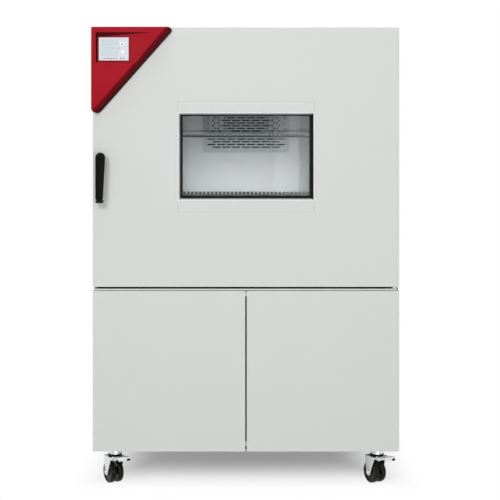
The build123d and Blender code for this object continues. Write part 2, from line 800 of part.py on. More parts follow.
fan_gap = 12.0  # air guide panel to the fan wheel
fan_disc_t = 3.0
fan_ring_w = 20.0
fan_ring_t = 2.0
fan_blade_w = 16.0
fan_blade_t = 1.5
fan_blade_turn = 35.0  # degrees
fan_hub_r = 14.0
fan_hub_in = 20.0
fan_shaft_in = 16.0
fan_shaft_out = 20.0  # insulation to the shaft's end
fan_y = guide_y + fan_gap

with BuildPart() as circulation_fan:
    rod((0, fan_y + fan_wheel_d, grille_z), (0, fan_y + fan_wheel_d + fan_disc_t, grille_z), fan_wheel_r)
    wheel_plane = Plane(origin=(0, fan_y + fan_wheel_d / 2, grille_z), x_dir=(1, 0, 0), z_dir=(0, -1, 0))
    with Locations(wheel_plane.location):
        with PolarLocations(fan_wheel_r - fan_ring_w / 2, fan_blades):
            Box(fan_blade_w, fan_blade_t, fan_wheel_d, rotation=(0, 0, fan_blade_turn))
    ring_plane = Plane.XZ.offset(-fan_y)
    with BuildSketch(ring_plane):
        with Locations((0, grille_z)):
            Circle(fan_wheel_r)
            Circle(fan_wheel_r - fan_ring_w, mode=Mode.SUBTRACT)
    extrude(amount=-fan_ring_t)
    rod((0, fan_y + fan_hub_in, grille_z), (0, fan_y + fan_wheel_d, grille_z), fan_hub_r)
    rod((0, fan_y + fan_shaft_in, grille_z), (0, foam_y + fan_shaft_out, grille_z), fan_shaft_r)
save(circulation_fan, "circulation_fan")

motor_gap = 1.0
motor_flange_r = 70.0
motor_flange_t = 6.0
motor_r = 55.0
motor_l = 120.0
motor_edge_r = 6.0
motor_fins = 18
motor_fin_h = 6.0
motor_fin_t = 2.0
motor_fin_l = 90.0
motor_fin_sink = 1.0
terminal_w = 48.0
terminal_l = 50.0
terminal_start = 30.0
terminal_low = 50.0
terminal_high = 85.0

with BuildPart() as fan_motor:
    motor_y = foam_y + motor_gap
    rod((0, motor_y, grille_z), (0, motor_y + motor_flange_t, grille_z), motor_flange_r)
    rod((0, motor_y, grille_z), (0, motor_y + motor_l, grille_z), motor_r)
    with Locations(Plane.XZ.offset(-(motor_y + motor_l / 2)).location):
        with Locations((0, grille_z)):
            with PolarLocations(motor_r + motor_fin_h / 2 - motor_fin_sink, motor_fins):
                Box(motor_fin_h, motor_fin_t, motor_fin_l)
    block((-terminal_w / 2, motor_y + terminal_start, grille_z + terminal_low),
          (terminal_w / 2, motor_y + terminal_start + terminal_l, grille_z + terminal_high))
    rod((0, motor_y, grille_z), (0, foam_y + fan_shaft_out + clearance, grille_z), fan_shaft_r + running,
        Mode.SUBTRACT)
    fillet(fan_motor.edges().filter_by(GeomType.CIRCLE).group_by(Axis.Y)[-1], motor_edge_r)
save(fan_motor, "fan_motor")

with BuildPart() as heater_coil:
    with BuildLine():
        tail_y = liner_y + heater_tail
        heater_points = [(heater_tail_x, tail_y, heater_top), (heater_tail_x, heater_y, heater_top)]
        for turn in range(heater_turns):
            z = heater_top - 2 * turn * heater_drop
            heater_points += [(-heater_x, heater_y, z), (-heater_x, heater_y, z - heater_drop)]
            heater_points += [(heater_x, heater_y, z - heater_drop), (heater_x, heater_y, z - 2 * heater_drop)]
        heater_points += [(-heater_tail_x, heater_y, heater_foot), (-heater_tail_x, tail_y, heater_foot)]
        FilletPolyline(*heater_points, radius=heater_drop / 2 - heater_bend_gap)
    with BuildSketch(Plane(origin=heater_points[0], z_dir=(0, -1, 0))):
        Circle(heater_r)
    sweep()
save(heater_coil, "heater_coil")

shelf_corner_r = 12.0
shelf_inner_r = 8.0
wire_side_gap = 15.0
shelf_bars = (shelf_front + shelf_d / 3, shelf_back - shelf_d / 3)
wire_count = int((shelf_w - 2 * wire_side_gap) // shelf_wire_pitch) + 1

with BuildPart() as wire_shelves:
    for z in (shelf_upper_z, shelf_lower_z):
        with BuildSketch(Plane.XY.offset(z - shelf_rod_r)):
            with Locations((0, (shelf_front + shelf_back) / 2)):
                RectangleRounded(shelf_w, shelf_d, shelf_corner_r)
                RectangleRounded(shelf_w - 4 * shelf_rod_r, shelf_d - 4 * shelf_rod_r, shelf_inner_r,
                                 mode=Mode.SUBTRACT)
            for bar_y in shelf_bars:
                with Locations((0, bar_y)):
                    Rectangle(shelf_w - 3 * shelf_rod_r, 2 * shelf_rod_r)
        extrude(amount=2 * shelf_rod_r)
        with BuildSketch(Plane.XY.offset(z + shelf_rod_r)):
            with Locations((0, (shelf_front + shelf_back) / 2)):
                with GridLocations(shelf_wire_pitch, 1, wire_count, 1):
                    Rectangle(2 * shelf_wire_r, shelf_d)
        extrude(amount=2 * shelf_wire_r)
save(wire_shelves, "wire_shelves")

upright_end_gap = 40.0
upright_in = 60.0  # shelf edge to upright
hook_lap = 8.0
hook_w = 16.0
hook_t = 4.0

with BuildPart() as shelf_uprights:
    upright_foot = chamber_z + upright_end_gap
    upright_head = chamber_top - upright_end_gap
    for side in (-1, 1):
        for y in (shelf_front + upright_in, shelf_back - upright_in):
            near, far = sorted((side * (chamber_x - upright_t), side * chamber_x))
            block((near, y - upright_w / 2, upright_foot), (far, y + upright_w / 2, upright_head))
            for z in (shelf_upper_z, shelf_lower_z):
                hook_in = side * (shelf_w / 2 - hook_lap)
                hook_out = side * (chamber_x - upright_t)
                low, high = sorted((hook_in, hook_out))
                top = z - shelf_rod_r
                block((low, y - hook_w / 2, top - hook_t), (high, y + hook_w / 2, top))
save(shelf_uprights, "shelf_uprights")

port_flange_t = 1.0
port_flange_w = 12.0
port_face = -half_w - port_flange_t

with BuildPart() as access_port:
    rod((port_face, port_y, port_z), (-chamber_x, port_y, port_z), port_r + port_wall)
    rod((port_face, port_y, port_z), (-half_w, port_y, port_z), port_r + port_wall + port_flange_w)
    rod((port_face, port_y, port_z), (-chamber_x, port_y, port_z), port_r, Mode.SUBTRACT)
save(access_port, "access_port")

port_plug_l = 70.0
port_plug_wall = 9.0
port_plug_recess = 14.0
port_grip_w = 6.0

with BuildPart() as port_plug:
    rod((port_face, port_y, port_z), (-half_w + port_plug_l, port_y, port_z), port_r - clearance)
    rod((port_face, port_y, port_z), (-half_w + port_plug_recess, port_y, port_z), port_r - port_plug_wall,
        Mode.SUBTRACT)
    block((-half_w, port_y - port_grip_w / 2, port_z - port_r + port_grip_w),
          (-half_w + port_plug_recess, port_y + port_grip_w / 2, port_z + port_r - port_grip_w))
save(port_plug, "port_plug")

lamp_in_x = 117.5
lamp_in_y = 101.0
lamp_rim_r = 34.0
lamp_rim_t = 6.0
lamp_r = 26.0
lamp_h = 24.0
lamp_edge_r = 10.0

with BuildPart() as chamber_lamp:
    lamp_x, lamp_y = chamber_x - lamp_in_x, frame_y + lamp_in_y
    for height, radius in ((lamp_rim_t, lamp_rim_r), (lamp_h, lamp_r)):
        rod((lamp_x, lamp_y, chamber_top - height), (lamp_x, lamp_y, chamber_top), radius)
    fillet(chamber_lamp.edges().filter_by(GeomType.CIRCLE).sort_by(Axis.Z)[0], lamp_edge_r)
save(chamber_lamp, "chamber_lamp")

probe_side_gap = 41.0
probe_drop = 133.0
probe_l = 40.0
probe_r = 3.0
probe_seat_r = 9.0
probe_seat_t = 8.0

with BuildPart() as temperature_probe:
    probe_x, probe_z = grille_w / 2 + probe_side_gap, chamber_top - probe_drop
    rod((probe_x, guide_y - probe_l, probe_z), (probe_x, guide_y, probe_z), probe_r)
    rod((probe_x, guide_y - probe_seat_t, probe_z), (probe_x, guide_y, probe_z), probe_seat_r)
save(temperature_probe, "temperature_probe")

# Main door

block_half = 18.0
block_x0, block_x1 = hinge_x - block_half, half_w - sheet
block_y0, block_y1 = hinge_y - block_half, hinge_y + block_half
upper_block_top = housing_h - hinge_pocket_h
pocket_low = (hinge_x - hinge_arm_w / 2 - hinge_pocket_gap, face_y + 2 * sheet, upper_block_top)
pocket_high = (half_w + hinge_overcut, door_back_y + hinge_overcut, housing_h + hinge_overcut)


def hinge_pocket():
    """Cuts the space round the upper hinge arm out of the part being built."""
    block(pocket_low, pocket_high, Mode.SUBTRACT)


with BuildPart() as door_skin:
    block((-half_w, face_y, door_z), (half_w, door_pan_y, housing_h))
    fillet(door_skin.edges().filter_by(Axis.Y), door_edge_r)
    fillet(door_skin.faces().sort_by(Axis.Y)[0].edges(), door_edge_r / 2)
    block((-half_w + sheet, face_y + sheet, door_z + sheet), (half_w - sheet, door_pan_y, roof_z),
          Mode.SUBTRACT)
    with BuildSketch(Plane.XZ.offset(-face_y)):
        with Locations((0, window_z)):
            Rectangle(window_w - 2 * window_lap, window_h - 2 * window_lap)
    extrude(amount=-sheet, mode=Mode.SUBTRACT)
    rod((handle_x, face_y, handle_z), (handle_x, face_y + sheet, handle_z), shaft_r + shaft_room, Mode.SUBTRACT)
    rod((hinge_x, hinge_y, door_z), (hinge_x, hinge_y, door_z + sheet), hinge_pin_r + hinge_bush_t,
        Mode.SUBTRACT)
    hinge_pocket()
save(door_skin, "door_skin")

plug_half_h = chamber_h / 2 - plug_gap
plug_mid_z = chamber_z + chamber_h / 2
tunnel_x = tunnel_w / 2
tunnel_z = tunnel_h / 2
tunnel_low = (-tunnel_x - tunnel_wall, face_y, window_z - tunnel_z - tunnel_wall)
tunnel_high = (tunnel_x + tunnel_wall, plug_y, window_z + tunnel_z + tunnel_wall)

with BuildPart() as door_foam:
    block((-half_w + sheet, face_y + sheet, door_z + sheet), (half_w - sheet, door_pan_y, roof_z))
    block((-plug_x + liner_t, door_pan_y, plug_mid_z - plug_half_h + liner_t),
          (plug_x - liner_t, plug_y - liner_t, plug_mid_z + plug_half_h - liner_t))
    block(tunnel_low, tunnel_high, Mode.SUBTRACT)
    block((-window_w / 2, face_y, window_z - window_h / 2),
          (window_w / 2, outer_pane_y, window_z + window_h / 2), Mode.SUBTRACT)
    rod((handle_x, face_y, handle_z), (handle_x, door_pan_y, handle_z), shaft_r + shaft_room, Mode.SUBTRACT)
    for low, high in ((door_z + sheet, door_z + sheet + hinge_block_h),
                      (upper_block_top - hinge_block_h, housing_h)):
        block((block_x0, block_y0, low), (block_x1 + hinge_overcut, block_y1, high), Mode.SUBTRACT)
    hinge_pocket()
save(door_foam, "door_foam")

with BuildPart() as hinge_bearings:
    for low in (door_z + sheet, upper_block_top - hinge_block_h):
        block((block_x0, block_y0, low), (block_x1, block_y1, low + hinge_block_h))
    rod((hinge_x, hinge_y, door_z), (hinge_x, hinge_y, door_z + sheet), hinge_pin_r + hinge_bush_t)
    rod((hinge_x, hinge_y, door_z), (hinge_x, hinge_y, housing_h), hinge_pin_r + running, Mode.SUBTRACT)
save(hinge_bearings, "hinge_bearings")

arm_top_z = roof_z - sheet
upper_pin_foot = upper_block_top - hinge_block_h + hinge_pin_lift
with BuildPart() as hinge_arms:
    for low, reach in ((sill_z, frame_y), (arm_top_z - hinge_arm_t, frame_y + hinge_arm_hold)):
        with BuildSketch(Plane.XY.offset(low)):
            with Locations((hinge_x, hinge_y)):
                Circle(hinge_arm_w / 2)
            with Locations((hinge_x, (hinge_y + reach) / 2)):
                Rectangle(hinge_arm_w, reach - hinge_y)
        extrude(amount=hinge_arm_t)
    rod((hinge_x, hinge_y, sill_z), (hinge_x, hinge_y, door_z + hinge_block_h), hinge_pin_r)
    rod((hinge_x, hinge_y, upper_pin_foot), (hinge_x, hinge_y, arm_top_z), hinge_pin_r)
save(hinge_arms, "hinge_arms")

with BuildPart() as door_liner:
    block((-half_w + sheet, door_pan_y, door_z + sheet), (half_w - sheet, door_back_y, roof_z))
    block((-plug_x, door_back_y, plug_mid_z - plug_half_h), (plug_x, plug_y, plug_mid_z + plug_half_h))
    fillet(door_liner.faces().sort_by(Axis.Y)[-1].edges(), plug_edge_r)
    block((-plug_x + liner_t, door_pan_y, plug_mid_z - plug_half_h + liner_t),
          (plug_x - liner_t, plug_y - liner_t, plug_mid_z + plug_half_h - liner_t), Mode.SUBTRACT)
    block((-tunnel_w / 2, door_pan_y, window_z - tunnel_h / 2), (tunnel_w / 2, plug_y, window_z + tunnel_h / 2),
          Mode.SUBTRACT)
    rod((handle_x, door_pan_y, handle_z), (handle_x, door_back_y, handle_z), shaft_r + running, Mode.SUBTRACT)
    hinge_pocket()
save(door_liner, "door_liner")

with BuildPart() as door_gasket:
    gasket_t = door_seal_gap - clearance
    block((-plug_x - gasket_w, door_back_y, plug_mid_z - plug_half_h - gasket_w),
          (plug_x + gasket_w, door_back_y + gasket_t, plug_mid_z + plug_half_h + gasket_w))
    fillet(door_gasket.edges().filter_by(Axis.Y), gasket_corner_r)
    block((-plug_x - gasket_lap, door_back_y, plug_mid_z - plug_half_h - gasket_lap),
          (plug_x + gasket_lap, door_back_y + gasket_t, plug_mid_z + plug_half_h + gasket_lap), Mode.SUBTRACT)
save(door_gasket, "door_gasket")

with BuildPart() as window_frame:
    with BuildSketch(Plane.XZ.offset(-face_y + window_proud)):
        with Locations((0, window_z)):
            Rectangle(window_w, window_h)
    extrude(amount=-window_proud)
    with BuildSketch(Plane.XZ.offset(-face_y)):
        with Locations((0, window_z)):
            Rectangle(window_w - 2 * window_lap, window_h - 2 * window_lap)
    extrude(amount=-(reveal_d - window_proud))
    with BuildSketch(Plane.XZ.offset(-face_y + window_proud)):
        with Locations((0, window_z)):
            Rectangle(window_w - 2 * window_rim, window_h - 2 * window_rim)
    with BuildSketch(Plane.XZ.offset(-outer_pane_y)):
        with Locations((0, window_z)):
            Rectangle(glass_w, glass_h)
    loft(mode=Mode.SUBTRACT)
save(window_frame, "window_frame")

with BuildPart() as window_surround:
    strip_h = (surround_h - window_h) / 2
    for sign in (-1, 1):
        middle = window_z + sign * (window_h + strip_h) / 2
        block((-window_w / 2, face_y - surround_t, middle - strip_h / 2 + surround_gap),
              (window_w / 2, face_y, middle + strip_h / 2 - surround_gap))
save(window_surround, "window_surround")

pane_gap = 30.0
pane_hold = 4.0
middle_pane_y = outer_pane_y + pane_t + pane_gap
pane_places = (outer_pane_y, middle_pane_y, inner_pane_y)


def add_panes(mode=Mode.ADD):
    """Adds the three glass panes to the part being built, or cuts their seats."""
    for pane_y in pane_places:
        block((-tunnel_x - pane_hold, pane_y, window_z - tunnel_z - pane_hold),
              (tunnel_x + pane_hold, pane_y + pane_t, window_z + tunnel_z + pane_hold), mode)


with BuildPart() as window_panes:
    add_panes()
save(window_panes, "window_panes")

with BuildPart() as window_tunnel:
    block((tunnel_low[0], outer_pane_y, tunnel_low[2]), (tunnel_high[0], plug_y - liner_t, tunnel_high[2]))
    block((-tunnel_x, outer_pane_y, window_z - tunnel_z), (tunnel_x, plug_y, window_z + tunnel_z),
          Mode.SUBTRACT)
    add_panes(Mode.SUBTRACT)
save(window_tunnel, "window_tunnel")

# Controller housing on the upper left corner of the door

control_x = -half_w - control_left_over
control_z = housing_h + control_top_over
control_y = face_y - control_t
control_tip = (control_x + control_w, control_z)
control_foot = (control_x, control_z - control_h)
slant = Vector(control_foot[0] - control_tip[0], 0, control_foot[1] - control_tip[1]).normalized()
outward = Vector(-slant.Z, 0, slant.X)
recess_x = control_x + recess_in_x
recess_z = control_z - recess_in_z - recess_h

with BuildPart() as controller_housing:
    with BuildSketch(Plane.XZ.offset(-face_y)) as triangle:
        with BuildLine():
            Polyline((control_x, control_z), control_tip, control_foot, close=True)
        make_face()
        fillet(triangle.vertices().sort_by(Axis.X)[-1], control_tip_r)
        fillet(triangle.vertices().sort_by(Axis.Y)[0], control_foot_r)
        fillet(triangle.vertices().group_by(Axis.Y)[-1].sort_by(Axis.X)[0], control_corner_r)
    extrude(amount=control_t)
    with BuildSketch(Plane(origin=(control_tip[0], 0, control_tip[1]), x_dir=outward, z_dir=slant)) as bevel:
        with BuildLine():
            side_y = control_edge_t - face_y
            past_y = control_overcut - control_y
            Polyline((0, side_y), (-control_bevel, -control_y), (-control_bevel, past_y),
                     (control_overcut, past_y), (control_overcut, side_y), close=True)
        make_face()
    extrude(amount=2 * control_h, both=True, mode=Mode.SUBTRACT)
    with BuildSketch(Plane.XY.offset(recess_z)):
        with BuildLine():
            Polyline((recess_x, control_y - control_overcut), (recess_x, control_y + recess_d),
                     (recess_x + recess_w, control_y), (recess_x + recess_w, control_y - control_overcut),
                     close=True)
        make_face()
    extrude(amount=recess_h, mode=Mode.SUBTRACT)
    with BuildSketch(Plane.XZ.offset(-face_y)):
        with BuildLine():
            Polyline((control_x, control_z), control_tip, control_foot, close=True)
        make_face()
        offset(amount=-control_bevel, kind=Kind.INTERSECTION)
    extrude(amount=control_t - recess_d - control_wall, mode=Mode.SUBTRACT)
save(controller_housing, "controller_housing")

screen_x = control_x + screen_in_x + screen_w / 2
screen_z = control_z - screen_in_z - screen_h / 2
screen_y = control_y + recess_d * (1 - (screen_x - recess_x) / recess_w)
with BuildPart() as touchscreen:
    screen_plane = Plane(origin=(screen_x, screen_y, screen_z), x_dir=(recess_w, -recess_d, 0),
                         z_dir=(-recess_d, -recess_w, 0))
    with Locations(screen_plane.location):
        Box(screen_w, screen_h, screen_t, align=(Align.CENTER, Align.CENTER, Align.MIN))
    fillet(touchscreen.faces().sort_by(Axis.Y)[0].edges(), screen_edge_r)
save(touchscreen, "touchscreen")

# Handle and latch

lever_back = face_y - handle_standoff
lever_front = lever_back - handle_t
lever_left = handle_x - handle_w / 2
lever_foot = handle_z - handle_drop

with BuildPart() as handle_lever:
    with BuildSketch(Plane.XZ.offset(-lever_back)):
        with Locations((handle_x, handle_z)):
            Circle(handle_w / 2)
        with BuildLine():
            Polyline((lever_left, handle_z), (lever_left + handle_w, handle_z),
                     (lever_left + handle_tip_w, lever_foot), (lever_left, lever_foot), close=True)
        make_face()
    extrude(amount=handle_t)
    fillet(handle_lever.faces().sort_by(Axis.Y)[0].edges(), handle_edge_r)
    rod((handle_x, lever_back, handle_z), (handle_x, face_y - handle_plate_t - clearance, handle_z),
        shaft_r + handle_hub_wall)
    rod((handle_x, lever_back, handle_z), (handle_x, face_y, handle_z), shaft_r, Mode.SUBTRACT)
save(handle_lever, "handle_lever")

with BuildPart() as handle_base:
    plate_w = handle_tip_w - 2 * handle_plate_inset
    with BuildSketch(Plane.XZ.offset(-face_y)):
        with Locations((handle_x, handle_z)):
            Circle(handle_tip_w / 2)
        with Locations((lever_left + handle_tip_w / 2, handle_z - handle_plate_h / 2)):
            RectangleRounded(plate_w, handle_plate_h, handle_plate_r)
    extrude(amount=handle_plate_t)
    rest_low = lever_foot - clearance - handle_rest_h
    block((lever_left + handle_rest_inset, lever_front + handle_rest_back, rest_low),
          (lever_left + handle_tip_w - handle_rest_inset, face_y, rest_low + handle_rest_h))
    rod((handle_x, face_y - handle_plate_t, handle_z), (handle_x, face_y, handle_z), shaft_r + running,
        Mode.SUBTRACT)
save(handle_base, "handle_base")

with BuildPart() as latch_shaft:
    cam_y = frame_y + cam_reach
    rod((handle_x, lever_back, handle_z), (handle_x, cam_y + cam_t, handle_z), shaft_r)
    block((handle_x - cam_w / 2, cam_y, handle_z - cam_l / 2),
          (handle_x + cam_w / 2, cam_y + cam_t, handle_z + cam_l / 2))
save(latch_shaft, "latch_shaft")

with BuildPart() as latch_keeper:
    rod((handle_x, frame_y, handle_z), (handle_x, frame_y + keeper_d, handle_z), keeper_r)
    rod((handle_x, frame_y, handle_z), (handle_x, frame_y + keeper_d - keeper_wall, handle_z),
        keeper_r - keeper_wall, Mode.SUBTRACT)
save(latch_keeper, "latch_keeper")

# Casters

wheel_half = wheel_w + wheel_gap / 2
fork_half = wheel_half + fork_gap + fork_t
crown_z = caster_h - caster_plate_t - swivel_h
yaw_x = Vector(cos(radians(caster_yaw)), sin(radians(caster_yaw)), 0)
pedal_y = -pedal_reach
pedal_z = crown_z - pedal_drop


def caster_frame(x, y):
    """Plane on the floor under a caster's swivel, with its X along the axle."""
    return Plane(origin=(x, y, 0), x_dir=yaw_x, z_dir=(0, 0, 1))


def caster_fork(x, y, name, braked):
    """Pressed fork with its swivel head, kingpin and axle bolt; ears carry the pedal of a braked one."""
    frame = caster_frame(x, y)
    leg_head = crown_z - crown_t / 2
    ear_x = pedal_half + ear_gap
    with BuildPart() as fork:
        with Locations(frame.location):
            block((-fork_half, -crown_front, crown_z - crown_t), (fork_half, crown_rear, crown_z))
            rod((0, 0, crown_z), (0, 0, crown_z + race_h), race_r)
            rod((0, 0, crown_z), (0, 0, crown_z + swivel_h - clearance), swivel_r)
            rod((0, 0, crown_z), (0, 0, caster_h - kingpin_gap), kingpin_r)
        for side_x in (-fork_half, fork_half - fork_t):
            leg_plane = Plane(origin=frame.from_local_coords((side_x, 0, 0)), x_dir=frame.y_dir,
                              z_dir=frame.x_dir)
            with BuildSketch(leg_plane):
                with BuildLine():
                    Polyline((-leg_front, leg_head), (crown_rear, leg_head),
                             (caster_trail + leg_foot_r, wheel_r), (caster_trail - leg_foot_r, wheel_r),
                             close=True)
                make_face()
                with Locations((caster_trail, wheel_r)):
                    Circle(leg_foot_r)
            extrude(amount=fork_t)
        with Locations(frame.location):
            rod((-fork_half, caster_trail, wheel_r), (fork_half, caster_trail, wheel_r), axle_r)
            for sign in (-1, 1):
                rod((sign * fork_half, caster_trail, wheel_r),
                    (sign * (fork_half + axle_head_t), caster_trail, wheel_r), axle_head_r)
            if braked:
                for near in (-ear_x - ear_t, ear_x):
                    block((near, pedal_y - pedal_barrel_r, pedal_z - pedal_barrel_r),
                          (near + ear_t, -crown_front + ear_t, pedal_z + pedal_barrel_r))
                rod((-ear_x - ear_t, pedal_y, pedal_z), (ear_x + ear_t, pedal_y, pedal_z), pedal_pin_r)
    save(fork, name)


def caster_wheel(x, y, name):
    """Twin wheel: two tyres on one hub, bored for the axle."""
    frame = caster_frame(x, y)
    with BuildPart() as wheel:
        with Locations(frame.location):
            for start in (-wheel_half, wheel_gap / 2):
                rod((start, caster_trail, wheel_r), (start + wheel_w, caster_trail, wheel_r), wheel_r)
        fillet(wheel.edges().filter_by(GeomType.CIRCLE), tyre_edge_r)
        with Locations(frame.location):
            rod((-wheel_half, caster_trail, wheel_r), (wheel_half, caster_trail, wheel_r), hub_r)
            rod((-wheel_half, caster_trail, wheel_r), (wheel_half, caster_trail, wheel_r), axle_r + running,
                Mode.SUBTRACT)
    save(wheel, name)


def brake_pedal(x, y, name):
    """Foot pedal on the fork's front ears: an arm and a wider tread with a turned-down lip."""
    frame = caster_frame(x, y)
    side_plane = Plane(origin=frame.from_local_coords((0, pedal_y, pedal_z)), x_dir=frame.y_dir,
                       z_dir=frame.x_dir)
    slope = (tread_rise - pedal_barrel_r) / tread_end
    with BuildPart() as pedal:
        for start, end, half in ((0, tread_start + tread_t, pedal_half - clearance),
                                 (tread_start, tread_end, tread_half)):
            near_z = pedal_barrel_r + slope * start
            far_z = pedal_barrel_r + slope * end
            with BuildSketch(side_plane):
                with BuildLine():
                    Polyline((-start, near_z), (-end, far_z), (-end, far_z - tread_t),
                             (-start, near_z - tread_t), close=True)
                make_face()
            extrude(amount=half, both=True)
        with Locations(frame.location):
            block((-tread_half, pedal_y - tread_end, pedal_z),
                  (tread_half, pedal_y - tread_end + tread_t, pedal_z + tread_rise - tread_t))
            rod((-pedal_half, pedal_y, pedal_z), (pedal_half, pedal_y, pedal_z), pedal_barrel_r)
            rod((-pedal_half, pedal_y, pedal_z), (pedal_half, pedal_y, pedal_z), pedal_pin_r + running,
                Mode.SUBTRACT)
    save(pedal, name)


caster_places = {
    "front_left": (-caster_x, caster_front_y),
    "front_right": (caster_x, caster_front_y),
    "rear_left": (-caster_x, caster_rear_y),
    "rear_right": (caster_x, caster_rear_y),
}
for place, (x, y) in caster_places.items():
    front = place.startswith("front")
    caster_fork(x, y, f"caster_fork_{place}", front)
    caster_wheel(x, y, f"caster_wheel_{place}")
    if front:
        brake_pedal(x, y, f"brake_pedal_{place}")

with BuildPart() as caster_plates:
    for x, y in caster_places.values():
        block((x - caster_plate_w / 2, y - caster_plate_d / 2, caster_h - caster_plate_t),
              (x + caster_plate_w / 2, y + caster_plate_d / 2, caster_h))
        rod((x, y, caster_h - caster_plate_t), (x, y, caster_h), kingpin_r + running, Mode.SUBTRACT)
save(caster_plates, "caster_plates")
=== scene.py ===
"""Environmental test chamber: finishes, detail pieces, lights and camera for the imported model."""

import logging
import math
from collections.abc import Callable, Iterable, Mapping, Sequence
from dataclasses import dataclass
from enum import Enum
from typing import Any

import bmesh
import bpy
from mathutils import Matrix, Vector


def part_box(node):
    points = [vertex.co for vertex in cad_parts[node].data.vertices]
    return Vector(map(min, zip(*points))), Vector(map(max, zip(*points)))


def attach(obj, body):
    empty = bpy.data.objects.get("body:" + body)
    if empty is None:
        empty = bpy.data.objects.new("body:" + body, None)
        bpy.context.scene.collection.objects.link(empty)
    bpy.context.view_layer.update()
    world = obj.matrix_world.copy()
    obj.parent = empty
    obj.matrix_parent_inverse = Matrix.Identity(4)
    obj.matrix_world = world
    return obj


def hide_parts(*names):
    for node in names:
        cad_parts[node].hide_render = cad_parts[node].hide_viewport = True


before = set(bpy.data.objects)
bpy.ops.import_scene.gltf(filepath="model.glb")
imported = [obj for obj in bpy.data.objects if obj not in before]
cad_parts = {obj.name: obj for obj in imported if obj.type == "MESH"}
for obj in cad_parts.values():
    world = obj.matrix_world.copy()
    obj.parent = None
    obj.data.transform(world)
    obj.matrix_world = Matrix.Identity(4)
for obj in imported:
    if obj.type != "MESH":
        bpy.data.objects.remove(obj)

LOG = logging.getLogger("test_chamber")
Point = tuple[float, float, float]
Colour = tuple[float, float, float]
Material = bpy.types.Material
Mesh = bpy.types.Mesh
Shape = bmesh.types.BMesh
UP = Vector((0, 0, 1))
WHITE = (1.0, 1.0, 1.0)
HAIR = 0.0002  # lap or inset that keeps two faces out of one plane
NEAR = 0.0002  # corners of the CAD mesh this close share a plane
MERGE = 1e-6
FLAT_TO = 1.0  # degrees between two faces of the CAD mesh that are merged into one
ROUNDED_FROM = 40.0  # degrees between two faces whose edge is rounded


# Node trees and shader maths


class NodeTree:
    """A node tree that is filled by one method."""

    def __init__(self, tree: bpy.types.NodeTree) -> None:
        """Keeps the tree."""
        self.tree = tree

    def node(self, kind: str, inputs: Mapping[int | str, Any] | None = None, **settings: Any) -> bpy.types.Node:
        """Adds a node of any type.

        Args:
            kind: The node's type.
            inputs: Values or links of its sockets, by name or number.
            settings: Its own settings, set first.

        Returns:
            The new node.
        """
        made = self.tree.nodes.new(kind)
        for key, value in settings.items():
            setattr(made, key, value)
        for key, value in (inputs or {}).items():
            self.feed(made.inputs[key], value)
        return made

    def get(
        self, kind: str, inputs: Mapping[int | str, Any] | None = None, output: int | str = 0, **settings: Any
    ) -> "Shade":
        """Adds a node and takes one of its outputs as a value."""
        return Shade(self, self.node(kind, inputs, **settings).outputs[output])

    def feed(self, socket: bpy.types.NodeSocket, value: Any) -> None:
        """Links a value to a socket, or sets the socket to it.

        Args:
            socket: The input socket.
            value: A Shade, an output socket, a number, a colour or a vector.
        """
        source = getattr(value, "socket", value)
        if isinstance(source, bpy.types.NodeSocket):
            self.tree.links.new(source, socket)
        elif socket.type == "RGBA" and len(value) == 3:
            socket.default_value = (*value, 1.0)
        else:
            socket.default_value = value

    def seen(self) -> "Shade":
        """A mask that is 1 for rays from the camera, from gloss and through glass.

        Returns:
            The mask.
        """
        rays = self.node("ShaderNodeLightPath").outputs
        camera, gloss, glass = (Shade(self, rays[f"Is {kind} Ray"]) for kind in ("Camera", "Glossy", "Transmission"))
        return camera.math("MAXIMUM", gloss).math("MAXIMUM", glass)


class Shade:
    """A shader socket that takes part in Python expressions."""

    def __init__(self, owner: NodeTree, socket: bpy.types.NodeSocket) -> None:
        """Keeps the output socket and the tree that holds it."""
        self.owner, self.socket = owner, socket

    def math(self, operation: str, *others: "Shade | float", reflected: bool = False) -> "Shade":
        """Adds one Math node.

        Args:
            operation: The Math node's operation.
            others: The values after this one.
            reflected: True where this value comes last.

        Returns:
            The result as a new value.
        """
        values = [*others, self] if reflected else [self, *others]
        return self.owner.get("ShaderNodeMath", dict(enumerate(values)), operation=operation)

    def __add__(self, other: "Shade | float") -> "Shade":
        """This value plus another."""
        return self.math("ADD", other)

    def __sub__(self, other: "Shade | float") -> "Shade":
        """This value less another."""
        return self.math("SUBTRACT", other)

    def __rsub__(self, other: float) -> "Shade":
        """A number less this value."""
        return self.math("SUBTRACT", other, reflected=True)

    def __mul__(self, other: "Shade | float") -> "Shade":
        """This value times another."""
        return self.math("MULTIPLY", other)

    def __truediv__(self, other: "Shade | float") -> "Shade":
        """This value divided by another."""
        return self.math("DIVIDE", other)

    __radd__ = __add__
    __rmul__ = __mul__

    def over(self, edge: float, soft: float = 0.0) -> "Shade":
        """A mask that is 1 where this value is above an edge.

        Args:
            edge: The value at the mask's middle.
            soft: The width over which the mask rises.

        Returns:
            The mask, from 0 to 1.
        """
        if soft <= 0:
            return self.math("GREATER_THAN", edge)
        inputs = {"Value": self, "From Min": edge - soft / 2, "From Max": edge + soft / 2}
        return self.owner.get("ShaderNodeMapRange", inputs, interpolation_type="SMOOTHSTEP")

    def under(self, edge: float, soft: float = 0.0) -> "Shade":
        """A mask that is 1 where this value is below an edge."""
        return 1 - self.over(edge, soft)

    def within(self, low: float, high: float) -> "Shade":
        """A mask that is 1 between two values."""
        return self.over(low) * self.under(high)


